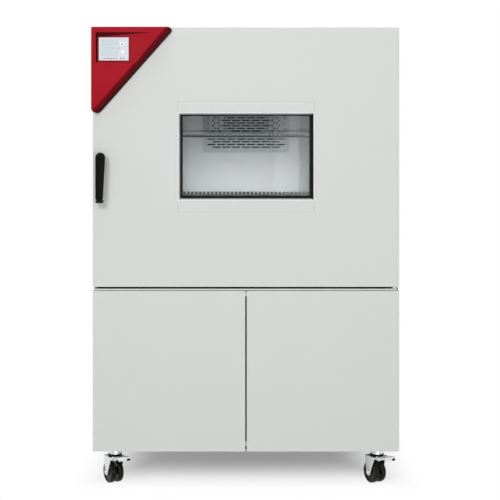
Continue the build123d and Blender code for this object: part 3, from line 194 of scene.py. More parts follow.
class Recipe(NodeTree):
    """A material and the methods that add nodes to it."""

    def __init__(self, name: str) -> None:
        """Starts an empty material.

        Args:
            name: The material's name.
        """
        self.material = bpy.data.materials.new(name)
        self.material.use_nodes = True
        super().__init__(self.material.node_tree)
        self.tree.nodes.clear()

    def place(self) -> Shade:
        """Where a point is on the resting object, in metres."""
        return self.get("ShaderNodeTexCoord", output="Object")

    def axes(self, vector: Shade) -> list[Shade]:
        """The three parts of a vector."""
        return [Shade(self, part) for part in self.node("ShaderNodeSeparateXYZ", {0: vector}).outputs]

    def stretched(self, vector: Shade, scale: Point) -> Shade:
        """A vector scaled by axis."""
        return self.get("ShaderNodeMapping", {"Vector": vector, "Scale": scale})

    def noise(self, vector: Shade, scale: float, detail: float = 2.0, roughness: float = 0.5) -> Shade:
        """Fractal noise from 0 to 1, at a number of features for each metre."""
        inputs = {"Vector": vector, "Scale": scale, "Detail": detail, "Roughness": roughness}
        return self.get("ShaderNodeTexNoise", inputs)

    def cells(self, vector: Shade, scale: float) -> Shade:
        """Distance from the middle of the nearest cell."""
        return self.get("ShaderNodeTexVoronoi", {"Vector": vector, "Scale": scale})

    def cell_tone(self, vector: Shade, scale: float) -> Shade:
        """One random grey for each cell."""
        colour = self.get("ShaderNodeTexVoronoi", {"Vector": vector, "Scale": scale}, "Color")
        return self.get("ShaderNodeSeparateColor", {0: colour})

    def blend(self, factor: Shade | float, first: Shade | Colour, second: Shade | Colour) -> Shade:
        """A colour between two colours."""
        return self.get("ShaderNodeMix", {0: factor, 6: first, 7: second}, 2, data_type="RGBA")

    def tinted(self, colour: Colour, tone: Shade, depth: float) -> Shade:
        """A colour made lighter and darker round itself by a tone from 0 to 1."""
        dark, light = ([min(1.0, part * share) for part in colour] for share in (1 - depth, 1 + depth))
        return self.blend(tone, dark, light)

    def bump(self, height: Shade, distance: float, strength: float = 1.0) -> Shade:
        """A normal from a height."""
        return self.get("ShaderNodeBump", {"Height": height, "Distance": distance, "Strength": strength})

    def close(self, shader: Shade) -> Material:
        """Ends the material in a shader."""
        self.node("ShaderNodeOutputMaterial", {"Surface": shader})
        return self.material

    def surface(self, **inputs: Any) -> Material:
        """Ends the material in one Principled shader; inputs are named with _ for a space."""
        named = {key.replace("_", " "): value for key, value in inputs.items()}
        return self.close(self.get("ShaderNodeBsdfPrincipled", named))


# Finishes: tones are mixed from noise at a number of features for each metre


class Grain(Enum):
    """Direction in which a metal sheet was brushed."""

    ACROSS = (6.0, 900.0, 900.0)
    UPRIGHT = (900.0, 900.0, 6.0)
    DEEP = (900.0, 6.0, 900.0)


@dataclass(frozen=True)
class Finish:
    """A named finish; each kind adds its own nodes, once."""

    name: str

    def mix(self, recipe: Recipe, place: Shade) -> Material:
        """Adds the finish.

        Args:
            recipe: The empty material.
            place: Where a point is on the object.

        Returns:
            The finished material.
        """
        raise NotImplementedError

    def material(self) -> Material:
        """Makes the material at its first use.

        Returns:
            The material.
        """
        if self.name not in bpy.data.materials:
            recipe = Recipe(self.name)
            self.mix(recipe, recipe.place())
        return bpy.data.materials[self.name]


@dataclass(frozen=True)
class PowderCoat(Finish):
    """Sprayed and baked powder with a fine orange peel."""

    colour: Colour
    roughness: float = 0.5
    peel: float = 0.00012

    def mix(self, recipe: Recipe, place: Shade) -> Material:
        """Adds the finish, as Finish.mix says."""
        cloud, speck = recipe.noise(place, 2.2, 3.0), recipe.noise(place, 620.0)
        return recipe.surface(
            Base_Color=recipe.tinted(self.colour, cloud * 0.6 + speck * 0.4, 0.018),
            Roughness=self.roughness - 0.05 + 0.1 * speck,
            Normal=recipe.bump(recipe.noise(place, 480.0, 3.0), self.peel, 0.5),
        )


@dataclass(frozen=True)
class MouldedPlastic(Finish):
    """Injection-moulded plastic with a fine spark-eroded grain."""

    colour: Colour
    roughness: float = 0.35
    shine: float = 0.5
    scuffs: float = 0.06
    grain: float = 0.00008

    def mix(self, recipe: Recipe, place: Shade) -> Material:
        """Adds the finish, as Finish.mix says."""
        cloud = recipe.noise(place, 9.0, 3.0)
        scuff = recipe.noise(recipe.stretched(place, (30.0, 30.0, 240.0)), 1.0, 4.0, 0.6)
        return recipe.surface(
            Base_Color=self.tone(recipe, place, cloud),
            Roughness=self.roughness - 0.05 + 0.06 * cloud + self.scuffs * scuff,
            Specular_IOR_Level=self.shine,
            Normal=recipe.bump(recipe.cells(place, 1100.0), self.grain, 0.4),
        )

    def tone(self, recipe: Recipe, place: Shade, cloud: Shade) -> Shade:
        """The plastic's colour."""
        return recipe.tinted(self.colour, cloud, 0.06)


@dataclass(frozen=True)
class ShadeSunkMoulding(MouldedPlastic):
    """Moulding with painted shade that deepens towards the sheet that it stands on."""

    # near-black painted shade where the moulding meets the door
    shade_colour: Colour = (0.012, 0.002, 0.003)
    start: float = -0.484
    reach: float = 0.030

    def tone(self, recipe: Recipe, place: Shade, cloud: Shade) -> Shade:
        """The colour, with painted shade deepening along the depth."""
        shade_share = ((recipe.axes(place)[1] - self.start) / self.reach).math("MAXIMUM", 0.0).math("MINIMUM", 1.0)
        return recipe.blend(shade_share, super().tone(recipe, place, cloud), self.shade_colour)


@dataclass(frozen=True)
class SatinSteel(Finish):
    """Stainless sheet with the fine lines of a brushing belt."""

    colour: Colour = (0.60, 0.61, 0.60)
    grain: Grain = Grain.ACROSS
    roughness: float = 0.34
    metallic: float = 1.0

    def mix(self, recipe: Recipe, place: Shade) -> Material:
        """Adds the finish, as Finish.mix says."""
        lines = recipe.noise(recipe.stretched(place, self.grain.value), 1.0, 4.0, 0.65)
        smear = recipe.noise(place, 7.0, 3.0)
        return recipe.surface(
            Base_Color=self.tone(recipe, place, lines, smear),
            Metallic=self.metallic,
            Roughness=self.roughness - 0.06 + 0.08 * lines + 0.06 * smear,
            Normal=recipe.bump(lines, 0.00004, 0.5),
        )

    def tone(self, recipe: Recipe, place: Shade, lines: Shade, smear: Shade) -> Shade:
        """The sheet's colour."""
        return recipe.tinted(self.colour, lines * 0.7 + smear * 0.3, 0.07)


@dataclass(frozen=True)
class SideShadedSteel(SatinSteel):
    """Brushed sheet with bands of painted shade at its two sides."""

    # a band of painted shade at each side: edge, softness and depth
    right: Point = (0.214, 0.02, 0.42)  # edge, softness and depth of the dark band
    left: Point = (0.236, 0.02, 0.18)
    darkest: float = 0.25

    def tone(self, recipe: Recipe, place: Shade, lines: Shade, smear: Shade) -> Shade:
        """The sheet's colour with its two bands of painted shade.

        Args:
            recipe: The material.
            place: Where a point is on the object.
            lines: The brushed lines, from 0 to 1.
            smear: The soft patches, from 0 to 1.

        Returns:
            The colour.
        """
        x = recipe.axes(place)[0]
        right = x.over(*self.right[:2]) * self.right[2]
        left = (-1.0 * x).over(*self.left[:2]) * self.left[2]
        tone = recipe.tinted(self.colour, lines * 0.5 + smear * 0.5, 0.09)
        return recipe.blend(right + left, tone, tuple(self.darkest * part for part in self.colour))


@dataclass(frozen=True)
class ZincPlate(Finish):
    """Bright zinc plating with faint spangle and handling marks."""

    colour: Colour = (0.72, 0.73, 0.73)
    roughness: float = 0.24

    def mix(self, recipe: Recipe, place: Shade) -> Material:
        """Adds the finish, as Finish.mix says."""
        spangle, haze = recipe.cell_tone(place, 160.0), recipe.noise(place, 45.0, 4.0)
        return recipe.surface(
            Base_Color=recipe.tinted(self.colour, spangle * 0.6 + haze * 0.4, 0.1),
            Metallic=1.0,
            Roughness=self.roughness + 0.12 * haze + 0.05 * spangle,
            Normal=recipe.bump(haze, 0.0002, 0.25),
        )


@dataclass(frozen=True)
class BareMetal(Finish):
    """Copper or aluminium that has dulled in patches."""

    colour: Colour
    dulled: Colour
    roughness: float = 0.35

    def mix(self, recipe: Recipe, place: Shade) -> Material:
        """Adds the finish, as Finish.mix says."""
        fine = recipe.noise(place, 420.0)
        worn = recipe.noise(place, 26.0, 5.0, 0.6).over(0.52, 0.3)
        return recipe.surface(
            Base_Color=recipe.blend(worn, self.colour, self.dulled),
            Metallic=1.0 - 0.25 * worn,
            Roughness=self.roughness + 0.2 * worn + 0.05 * fine,
            Normal=recipe.bump(fine, 0.0001, 0.3),
        )


@dataclass(frozen=True)
class Rubber(Finish):
    """Rubber or silicone with a dusty skin."""

    colour: Colour
    roughness: float = 0.7
    dust: float = 0.25
    shine: float = 0.2

    def mix(self, recipe: Recipe, place: Shade) -> Material:
        """Adds the finish, as Finish.mix says."""
        grain = recipe.noise(place, 700.0, 3.0)
        dust = recipe.noise(place, 60.0, 4.0, 0.6).over(0.55, 0.3) * self.dust
        return recipe.surface(
            Base_Color=recipe.blend(dust, self.colour, tuple(0.5 * part + 0.1 for part in self.colour)),
            Specular_IOR_Level=self.shine,
            Roughness=self.roughness - 0.05 + 0.1 * grain,
            Normal=recipe.bump(grain, 0.0002, 0.4),
        )


@dataclass(frozen=True)
class PanelGlass(Finish):
    """Clear toughened pane with a faint green cast and wiped-on haze."""

    tint: Colour = (0.05, 0.07, 0.07)
    veil: float = 0.05

    def mix(self, recipe: Recipe, place: Shade) -> Material:
        """Adds the finish, as Finish.mix says."""
        wipe = recipe.noise(recipe.stretched(place, (9.0, 9.0, 30.0)), 1.0, 4.0, 0.6)
        return recipe.surface(
            Base_Color=recipe.tinted(self.tint, wipe, 0.2),
            Roughness=0.02 + 0.05 * wipe,
            IOR=1.5,
            Alpha=self.veil + 0.02 * wipe,
        )


@dataclass(frozen=True)
class Foam(Finish):
    """Rigid foam with a cut, cellular face."""

    colour: Colour = (0.83, 0.76, 0.55)

    def mix(self, recipe: Recipe, place: Shade) -> Material:
        """Adds the finish, as Finish.mix says."""
        cells, cloud = recipe.cells(place, 420.0), recipe.noise(place, 12.0, 3.0)
        return recipe.surface(
            Base_Color=recipe.tinted(self.colour, cells * 0.6 + cloud * 0.4, 0.12),
            Roughness=0.9,
            Normal=recipe.bump(cells, 0.0008, 0.8),
        )


@dataclass(frozen=True)
class LampGlass(Finish):
    """Pressed glass of the chamber lamp, lit from inside."""

    colour: Colour = (0.95, 0.93, 0.86)
    glow: float = 1.2

    def mix(self, recipe: Recipe, place: Shade) -> Material:
        """Adds the finish, as Finish.mix says."""
        ribs = recipe.cells(place, 260.0)
        return recipe.surface(
            Base_Color=recipe.tinted(self.colour, ribs, 0.08),
            Roughness=0.3 + 0.1 * ribs,
            Emission_Color=self.colour,
            Emission_Strength=self.glow,
            Normal=recipe.bump(ribs, 0.0006, 0.5),
        )


@dataclass(frozen=True)
class ScreenImage(Finish):
    """The lit display: a pale chart, two round keys and a row of small marks, on the panel's UV map."""

    frame_tone: Colour = (0.66, 0.67, 0.73)
    chart_tone: Colour = (0.53, 0.62, 0.66)
    line_tone: Colour = (0.62, 0.66, 0.72)
    key_tone: Colour = (0.86, 0.86, 0.89)
    mark_tone: Colour = (0.03, 0.03, 0.03)
    chart: tuple[float, float, float, float] = (0.06, 0.67, 0.14, 0.93)
    grid: tuple[int, int] = (6, 5)
    line: tuple[float, float] = (0.14, 0.1)
    keys: tuple[Point, ...] = ((0.80, 0.72, 0.085), (0.83, 0.37, 0.070))
    halo: tuple[float, float] = (1.25, 0.35)
    dots: tuple[Point, ...] = ((0.80, 0.72, 0.030), (0.716, 0.54, 0.018))
    marks: tuple[float, ...] = (0.16, 0.26, 0.34, 0.416, 0.486, 0.58, 0.757, 0.858)
    mark_height: float = 0.055
    mark_half: tuple[float, float] = (0.017, 0.03)
    aspect: float = 92.0 / 109.5
    glow: float = 0.06

    def disc(self, u: Shade, v: Shade, spot: Point, grown: float = 1.0) -> Shade:
        """A round mask on the panel.

        Args:
            u: The coordinate across the panel.
            v: The coordinate up the panel.
            spot: Middle across, middle up, and radius, as shares of the width.
            grown: What the radius is multiplied by.

        Returns:
            The mask, from 0 to 1.
        """
        across, up = u - spot[0], (v - spot[1]) * self.aspect
        area = (spot[2] * grown) ** 2
        return (across * across + up * up).under(area, 0.3 * area)

    def mix(self, recipe: Recipe, place: Shade) -> Material:
        """Adds the image.

        Args:
            recipe: The empty material.
            place: Where a point is on the object.

        Returns:
            The finished material.
        """
        u, v, _ = recipe.axes(recipe.get("ShaderNodeTexCoord", output="UV"))
        left, right, low, high = self.chart
        chart = u.within(left, right) * v.within(low, high)
        across = ((u - left) * (self.grid[0] / (right - left))).math("FRACT")
        up = ((v - low) * (self.grid[1] / (high - low))).math("FRACT")
        lines = (across.under(*self.line) + up.under(*self.line)).math("MINIMUM", 1.0)
        colour = recipe.blend(chart, self.frame_tone, recipe.blend(lines, self.chart_tone, self.line_tone))
        for spot in self.keys:
            colour = recipe.blend(self.disc(u, v, spot, self.halo[0]) * self.halo[1], colour, self.chart_tone)
            colour = recipe.blend(self.disc(u, v, spot), colour, self.key_tone)
        for spot in self.dots:
            colour = recipe.blend(self.disc(u, v, spot), colour, self.mark_tone)
        half_w, half_h = self.mark_half
        for middle in self.marks:
            mark = u.within(middle - half_w, middle + half_w)
            mark = mark * v.within(self.mark_height - half_h, self.mark_height + half_h)
            colour = recipe.blend(mark, colour, self.mark_tone)
        return recipe.surface(
            Base_Color=colour,
            Roughness=0.16 + 0.04 * recipe.noise(place, 300.0),
            Emission_Color=colour,
            Emission_Strength=self.glow,
        )


PAINT = PowderCoat("light_grey_powder_coat", (0.655, 0.670, 0.655))
PAINT_DARK = PowderCoat("grey_frame_primer", (0.25, 0.26, 0.27), 0.6)
RED = MouldedPlastic("deep_red_moulding", (0.365, 0.005, 0.015), 0.36, 0.1)
# darker red for the slanted band, sinking to near black towards the door: painted shade
RED_EDGE_SHADED = ShadeSunkMoulding("shaded_red_moulding_edge", (0.22, 0.003, 0.009), 0.34, 0.04, 0.0)
RED_SHADE = MouldedPlastic("shaded_red_moulding", (0.055, 0.002, 0.004), 0.4, 0.05)
BLACK = MouldedPlastic("black_handle_moulding", (0.005, 0.0045, 0.004), 0.3, 0.05)
BLACK_MATT = MouldedPlastic("black_nylon", (0.010, 0.010, 0.011), 0.55, 0.12)
BEZEL = MouldedPlastic("pale_display_bezel", (0.70, 0.72, 0.74), 0.4, 0.3)
GREY_BOX = MouldedPlastic("grey_switch_box", (0.42, 0.43, 0.44), 0.45)
STEEL = SatinSteel("satin_stainless_across")
STEEL_UPRIGHT = SatinSteel("satin_stainless_upright", grain=Grain.UPRIGHT)
LINER = SatinSteel("chamber_stainless", (0.66, 0.68, 0.68), Grain.UPRIGHT, 0.46, 0.8)
# its side bands are painted shade, and the right one is darker
GUIDE = SideShadedSteel("guide_panel_stainless", (0.64, 0.665, 0.67), Grain.UPRIGHT, 0.5, 0.55)
GRILLE = SatinSteel("grille_stainless", (0.50, 0.53, 0.535), Grain.ACROSS, 0.42, 0.8)
# pale plain colour with no metal for the polished trim: partly its own colour, partly painted reflection
TRIM = SatinSteel("bright_window_trim", (0.90, 0.91, 0.91), Grain.ACROSS, 0.3, 0.0)
WIRE = SatinSteel("bright_shelf_wire", (0.86, 0.87, 0.87), Grain.ACROSS, 0.3, 0.2)
# the close wires take a darker copy of the shelf steel: painted shade
WIRE_SHADED = SatinSteel("shaded_shelf_wire", (0.20, 0.21, 0.21), Grain.DEEP, 0.4, 0.8)
ZINC = ZincPlate("bright_zinc_plate")
FIN = BareMetal("plain_aluminium_fins", (0.74, 0.75, 0.76), (0.52, 0.53, 0.53), 0.38)
COPPER = BareMetal("refrigerant_copper", (0.78, 0.38, 0.22), (0.34, 0.17, 0.10), 0.3)
SEAL = Rubber("black_seal_rubber", (0.006, 0.008, 0.008), 0.6, 0.08, 0.08)
GASKET = Rubber("grey_door_gasket", (0.10, 0.10, 0.10), 0.65)
TREAD = Rubber("castor_tread", (0.007, 0.008, 0.005), 0.26, 0.05, 0.14)
WHEEL_RIM = MouldedPlastic("castor_wheel_nylon", (0.006, 0.006, 0.006), 0.25, 0.2)
SILICONE = Rubber("port_plug_silicone", (0.74, 0.73, 0.69), 0.5, 0.1)
ENAMEL = PowderCoat("black_compressor_enamel", (0.014, 0.014, 0.015), 0.3)
GLASS = PanelGlass("clear_toughened_glass")
FOAM = Foam("rigid_insulation_foam")
LAMP = LampGlass("chamber_lamp_glass")
DISPLAY = ScreenImage("controller_display")

# Finishes of the nodes that keep their CAD shape; the rest are castor parts
NODE_FINISHES: dict[str, Finish] = {
    name: finish
    for finish, names in (
        (PAINT, "top_cover front_frame side_panels lower_side_panels rear_panels door_skin chamber_deck "
                "window_surround lower_door_left lower_door_right"),
        (PAINT_DARK, "bottom_pan base_frame"),
        (LINER, "inner_chamber"), (GUIDE, "air_guide_panel"), (GRILLE, "inlet_grille"), (TRIM, "window_frame"),
        (STEEL_UPRIGHT, "door_liner shelf_uprights"), (WIRE, "wire_shelves"),
        (STEEL, "hinge_arms hinge_bearings latch_shaft latch_keeper access_port temperature_probe heater_coil"),
        (ZINC, "lower_door_hardware condenser_fan_mount caster_plates"),
        (FIN, "heat_exchangers circulation_fan"), (COPPER, "pipework"), (ENAMEL, "compressors fan_motor"),
        (GREY_BOX, "electrical_box"), (FOAM, "insulation door_foam"),
        (BLACK_MATT, "condenser_fan cable_gland handle_base"), (BLACK, "handle_lever main_switch"),
        (SEAL, "window_tunnel rear_spacers"), (RED, "controller_housing"), (BEZEL, "touchscreen"),
        (GLASS, "window_panes"), (LAMP, "chamber_lamp"), (GASKET, "door_gasket"), (SILICONE, "port_plug"),
    )
    for name in names.split()
}


# Mesh making


def crisp(mesh: Mesh, angle: float = 50.0) -> Mesh:
    """Smooths a mesh except at its sharp edges.

    Args:
        mesh: The mesh, which is changed.
        angle: Edges sharper than this, in degrees, stay crisp.

    Returns:
        The same mesh.
    """
    mesh.polygons.foreach_set("use_smooth", [True] * len(mesh.polygons))
    mesh.set_sharp_from_angle(angle=math.radians(angle))
    return mesh


def finished_mesh(shape: Shape, name: str, smooth_angle: float = 35.0) -> Mesh:
    """Turns a working shape into a mesh with outward faces and crisp edges.

    Args:
        shape: The shape, which is freed.
        name: The mesh's name.
        smooth_angle: Edges sharper than this, in degrees, stay crisp.

    Returns:
        The mesh.
    """
    bmesh.ops.remove_doubles(shape, verts=shape.verts, dist=MERGE)
    bmesh.ops.recalc_face_normals(shape, faces=shape.faces)
    mesh = bpy.data.meshes.new(name)
    shape.to_mesh(mesh)
    shape.free()
    return crisp(mesh, smooth_angle)


def new_object(name: str, data: bpy.types.ID) -> bpy.types.Object:
    """Puts data in the scene.

    Args:
        name: The object's name.
        data: Its mesh, light or camera.

    Returns:
        The new object.
    """
    made = bpy.data.objects.new(name, data)
    bpy.context.scene.collection.objects.link(made)
    return made


def baked(source: bpy.types.Object) -> Mesh:
    """Applies an object's modifiers and removes the object.

    Args:
        source: An object with live modifiers.

    Returns:
        A plain mesh.
    """
    bpy.context.view_layer.update()
    graph = bpy.context.evaluated_depsgraph_get()
    mesh = bpy.data.meshes.new_from_object(source.evaluated_get(graph), depsgraph=graph)
    source.modifiers.clear()
    bpy.data.objects.remove(source)
    return mesh


def bevelled(mesh: Mesh, width: float, segments: int = 2) -> Mesh:
    """Rounds a mesh's sharp edges.

    Args:
        mesh: The mesh.
        width: Width of the rounding.
        segments: Steps across it.

    Returns:
        A new mesh.
    """
    holder = new_object("edge_rounding", mesh)
    rounding = holder.modifiers.new("rounding", "BEVEL")
    rounding.width = width
    rounding.segments = segments
    rounding.limit_method = "ANGLE"
    rounding.angle_limit = math.radians(ROUNDED_FROM)
    rounding.use_clamp_overlap = True
    return baked(holder)


def softened_node(node: str, width: float, segments: int = 2, change: Callable[[Shape], None] | None = None) -> Mesh:
    """A copy of a node's mesh, merged and with rounded edges.

    Args:
        node: The node's name.
        width: Width of the rounding.
        segments: Steps across it.
        change: Alters the merged copy before it is rounded.

    Returns:
        The new mesh.
    """
    shape = bmesh.new()
    shape.from_mesh(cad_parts[node].data)
    bmesh.ops.remove_doubles(shape, verts=shape.verts, dist=MERGE)
    bmesh.ops.dissolve_limit(shape, angle_limit=math.radians(FLAT_TO), verts=shape.verts, edges=shape.edges)
    if change:
        change(shape)
    return crisp(bevelled(finished_mesh(shape, f"{node}_soft"), width, segments))


def fit_piece(
    made: Shape | Mesh, name: str, body: str, slot: str, *finishes: Finish, rounding: float = 0.0, instead: bool = False
) -> None:
    """Puts a piece on the object.

    Args:
        made: A working shape, which is freed, or a finished mesh, in its place.
        name: The piece's name.
        body: The body that it rides on.
        slot: The node that it goes with, which is hidden where instead is True.
        finishes: Its finishes, in the order of its material numbers.
        rounding: Width of its rounded edges.
        instead: True where it stands for the node that the slot is named after.
    """
    mesh = finished_mesh(made, name) if isinstance(made, Shape) else made
    if rounding:
        mesh = bevelled(mesh, rounding)
    numbers = [face.material_index for face in mesh.polygons]
    mesh.materials.clear()
    for finish in finishes:
        mesh.materials.append(finish.material())
    mesh.polygons.foreach_set("material_index", numbers)
    piece = new_object(name, mesh)
    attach(piece, body)
    if instead:
        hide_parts(slot)
    LOG.info("%s: %d faces on %s", name, len(mesh.polygons), body)


def rect(low: Sequence[float], high: Sequence[float]) -> list[tuple[float, float]]:
    """Corners of a rectangle, in order."""
    return [(low[0], low[1]), (high[0], low[1]), (high[0], high[1]), (low[0], high[1])]


def centred(half_w: float, half_h: float, inset: float = 0.0) -> list[tuple[float, float]]:
    """Corners of a rectangle round the origin, drawn in by an inset."""
    return rect((inset - half_w, inset - half_h), (half_w - inset, half_h - inset))


def hull_outline(rounds: Sequence[Point], inset: float, steps: int) -> list[tuple[float, float]]:
    """Outline of a band drawn round several circles.

    Args:
        rounds: Middle across, middle up and radius of each circle.
        inset: How far the outline is drawn in.
        steps: Number of points.

    Returns:
        The points, in order.
    """
    points = []
    for step in range(steps):
        turn = 2 * math.pi * step / steps
        out = (math.cos(turn), math.sin(turn))
        x, z, r = max(rounds, key=lambda c: c[0] * out[0] + c[1] * out[1] + c[2])
        points.append((x + (r - inset) * out[0], z + (r - inset) * out[1]))
    return points


def add_loops(shape: Shape, loops: Sequence[Sequence[Point]], closed: bool = False) -> list[bmesh.types.BMFace]:
    """Skins a row of loops, with a lid at each end unless the row is closed.

    Args:
        shape: The shape that gets the faces.
        loops: Loops of as many points each.
        closed: True where the last loop joins the first.

    Returns:
        The side faces.
    """
    rings = [[shape.verts.new(point) for point in loop] for loop in loops]
    faces = []
    for near, far in zip(rings, rings[1:] + rings[:1] if closed else rings[1:]):
        for index, start in enumerate(near):
            after = (index + 1) % len(near)
            faces.append(shape.faces.new((start, near[after], far[after], far[index])))
    if not closed:
        shape.faces.new(rings[0])
        shape.faces.new(list(reversed(rings[-1])))
    return faces


def skinned(loops: Sequence[Sequence[Point]], closed: bool = False) -> Shape:
    """Makes a shape of one row of loops, as add_loops does.

    Args:
        loops: Loops of as many points each.
        closed: True where the last loop joins the first.

    Returns:
        The shape.
    """
    shape = bmesh.new()
    add_loops(shape, loops, closed)
    return shape


def add_lathe(
    shape: Shape, profile: Iterable[tuple[float, float]], start: Vector, axis: Vector, steps: int = 40
) -> list[bmesh.types.BMFace]:
    """Turns a profile round an axis.

    Args:
        shape: The shape that gets the faces.
        profile: Distance along the axis and radius of each point.
        start: Where the axis starts.
        axis: Its direction.
        steps: Number of faces round it.

    Returns:
        The new faces.
    """
    along = axis.normalized()
    side = along.orthogonal().normalized()
    other = along.cross(side)
    turns = [2 * math.pi * step / steps for step in range(steps)]
    spokes = [side * math.cos(turn) + other * math.sin(turn) for turn in turns]
    loops = [[tuple(start + along * go + spoke * radius) for spoke in spokes] for go, radius in profile]
    return add_loops(shape, loops)


def box_shape(corners: Iterable[tuple[Point, Point]]) -> Shape:
    """Makes a shape of boxes.

    Args:
        corners: The lowest and the highest corner of each.

    Returns:
        The shape.
    """
    shape = bmesh.new()
    for low, high in corners:
        add_loops(shape, [[(x, y, z) for x, y in rect(low, high)] for z in (low[2], high[2])])
    return shape


# Geometry Nodes


class RepeatTree(NodeTree):
    """A Geometry Nodes tree with named inputs that ends in Realize Instances and Set Material."""

    def __init__(self, name: str, **inputs: tuple[str, Any]) -> None:
        """Starts the tree.

        Args:
            name: The tree's name.
            inputs: Socket type and value of each named input.
        """
        super().__init__(bpy.data.node_groups.new(name, "GeometryNodeTree"))
        self.values = {key: value for key, (_, value) in inputs.items()}
        kinds = {"Geometry": "NodeSocketGeometry"} | {key: kind for key, (kind, _) in inputs.items()}
        for key, kind in kinds.items():
            self.tree.interface.new_socket(key, in_out="INPUT", socket_type=kind)
        self.tree.interface.new_socket("Geometry", in_out="OUTPUT", socket_type="NodeSocketGeometry")
        self.given = self.node("NodeGroupInput").outputs

    def scatter(self, part: bpy.types.NodeSocket, places: Iterable[Point], finish: Finish, **more: Any) -> Mesh:
        """Sets a part on each place, ends the tree and runs it.

        Args:
            part: The geometry that is set out.
            places: Where each one stands.
            finish: The finish of all of it.
            more: Further inputs of the node that sets it out.

        Returns:
            The result as a plain mesh.
        """
        inputs = {"Points": self.given["Geometry"], "Instance": part, **more}
        set_out = self.get("GeometryNodeInstanceOnPoints", inputs)
        real = self.get("GeometryNodeRealizeInstances", {"Geometry": set_out})
        dressed = self.get("GeometryNodeSetMaterial", {"Geometry": real, "Material": finish.material()})
        self.node("NodeGroupOutput", {"Geometry": dressed})
        base = bpy.data.meshes.new("points")
        base.from_pydata(list(places), [], [])
        holder = new_object("pattern", base)
        modifier = holder.modifiers.new("pattern", "NODES")
        modifier.node_group = self.tree
        for item in self.tree.interface.items_tree:
            if item.item_type == "SOCKET" and item.in_out == "INPUT" and item.name in self.values:
                modifier[item.identifier] = self.values[item.name]
        return baked(holder)


@dataclass(frozen=True)
class BarField:
    """Straight round bars that all lie along one axis, one from each place."""

    length: float
    radius: float
    along: Point
    sides: int = 8

    def mesh(self, places: Iterable[Point], finish: Finish) -> Mesh:
        """Makes the bars.

        Args:
            places: Where each bar starts.
            finish: Their finish.

        Returns:
            One plain mesh.
        """
        tree = RepeatTree(
            "bar_field",
            Length=("NodeSocketFloat", self.length),
            Radius=("NodeSocketFloat", self.radius),
            Sides=("NodeSocketInt", self.sides),
        )
        given = tree.given
        end = tree.get("ShaderNodeVectorMath", {0: self.along, "Scale": given["Length"]}, operation="SCALE")
        line = tree.get("GeometryNodeCurvePrimitiveLine", {"End": end})
        ring = tree.get("GeometryNodeCurvePrimitiveCircle", {"Resolution": given["Sides"], "Radius": given["Radius"]})
        bar = tree.get("GeometryNodeCurveToMesh", {"Curve": line, "Profile Curve": ring, "Fill Caps": True})
        return crisp(tree.scatter(bar.socket, places, finish))


@dataclass(frozen=True)
class ScrewField:
    """Pan-head screws with a hexagon socket, all facing one way and not quite of one size."""

    head_r: float = 0.0042
    head_h: float = 0.0022
    socket_r: float = 0.0018
    sides: int = 12
    seed: int = 7
    spread: float = 0.06

    def head(self, facing: Vector) -> bpy.types.Object:
        """One screw head at the origin.

        Args:
            facing: The way it faces.

        Returns:
            An object for the tree.
        """
        r, h, inner = self.head_r, self.head_h, self.socket_r
        profile = ((0.0, r), (h * 0.55, r), (h * 0.9, r * 0.8), (h, r * 0.55), (h, inner), (h * 0.35, inner * 0.9))
        shape = bmesh.new()
        add_lathe(shape, profile, Vector(), facing, self.sides)
        return new_object("screw_head", finished_mesh(shape, "screw_head", 45))

    def mesh(self, places: Iterable[Point], facing: Vector, finish: Finish) -> Mesh:
        """Makes the screws.

        Args:
            places: Where each head sits.
            facing: The way they face.
            finish: Their finish.

        Returns:
            One plain mesh.
        """
        head = self.head(facing)
        tree = RepeatTree(
            "screw_field",
            Head=("NodeSocketObject", head),
            Seed=("NodeSocketInt", self.seed),
            Spread=("NodeSocketFloat", self.spread),
        )
        info = tree.node("GeometryNodeObjectInfo", {"Object": tree.given["Head"]})
        largest = tree.get("ShaderNodeMath", {0: 1.0, 1: tree.given["Spread"]}, operation="ADD")
        inputs = {"Min": 1.0, "Max": largest, "Seed": tree.given["Seed"]}
        size = tree.node("FunctionNodeRandomValue", inputs, data_type="FLOAT")
        scale = next(out for out in size.outputs if out.enabled)
        mesh = tree.scatter(info.outputs["Geometry"], places, finish, Scale=scale)
        bpy.data.objects.remove(head)
        return mesh


# Sub-assemblies: lengths are in metres


@dataclass
class Housing:
    """Painted sheets, steel and service parts that keep their CAD shape."""

    edge_in: float = 0.018
    columns: int = 5
    rows: tuple[int, int] = (6, 4)

    def dress(self) -> None:
        """Gives every carried-over node its finish."""
        for name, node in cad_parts.items():
            castor = TREAD if name.startswith("caster_wheel") else ZINC
            node.data.materials.clear()
            node.data.materials.append(NODE_FINISHES.get(name, castor).material())
        LOG.info("dressed %d nodes", len(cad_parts))

    def rear_screws(self) -> None:
        """Screws round the two rear panels."""
        low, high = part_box("rear_panels")
        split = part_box("chamber_deck")[1].z
        x0, x1 = low.x + self.edge_in, high.x - self.edge_in
        places: list[Point] = []
        for bottom, top, rows in ((split, high.z, self.rows[0]), (low.z, split, self.rows[1])):
            z0, z1 = bottom + self.edge_in, top - self.edge_in
            for row in range(rows):
                z = z0 + (z1 - z0) * row / (rows - 1)
                places += [(x0, high.y, z), (x1, high.y, z)]
            for column in range(1, self.columns - 1):
                x = x0 + (x1 - x0) * column / (self.columns - 1)
                places += [(x, high.y, z0), (x, high.y, z1)]
        fit_piece(ScrewField().mesh(places, Vector((0, 1, 0)), ZINC), "rear_panel_screws", "base", "rear_panels", ZINC)

    def build(self) -> None:
        """Dresses the nodes and adds the screws."""
        self.dress()
        self.rear_screws()


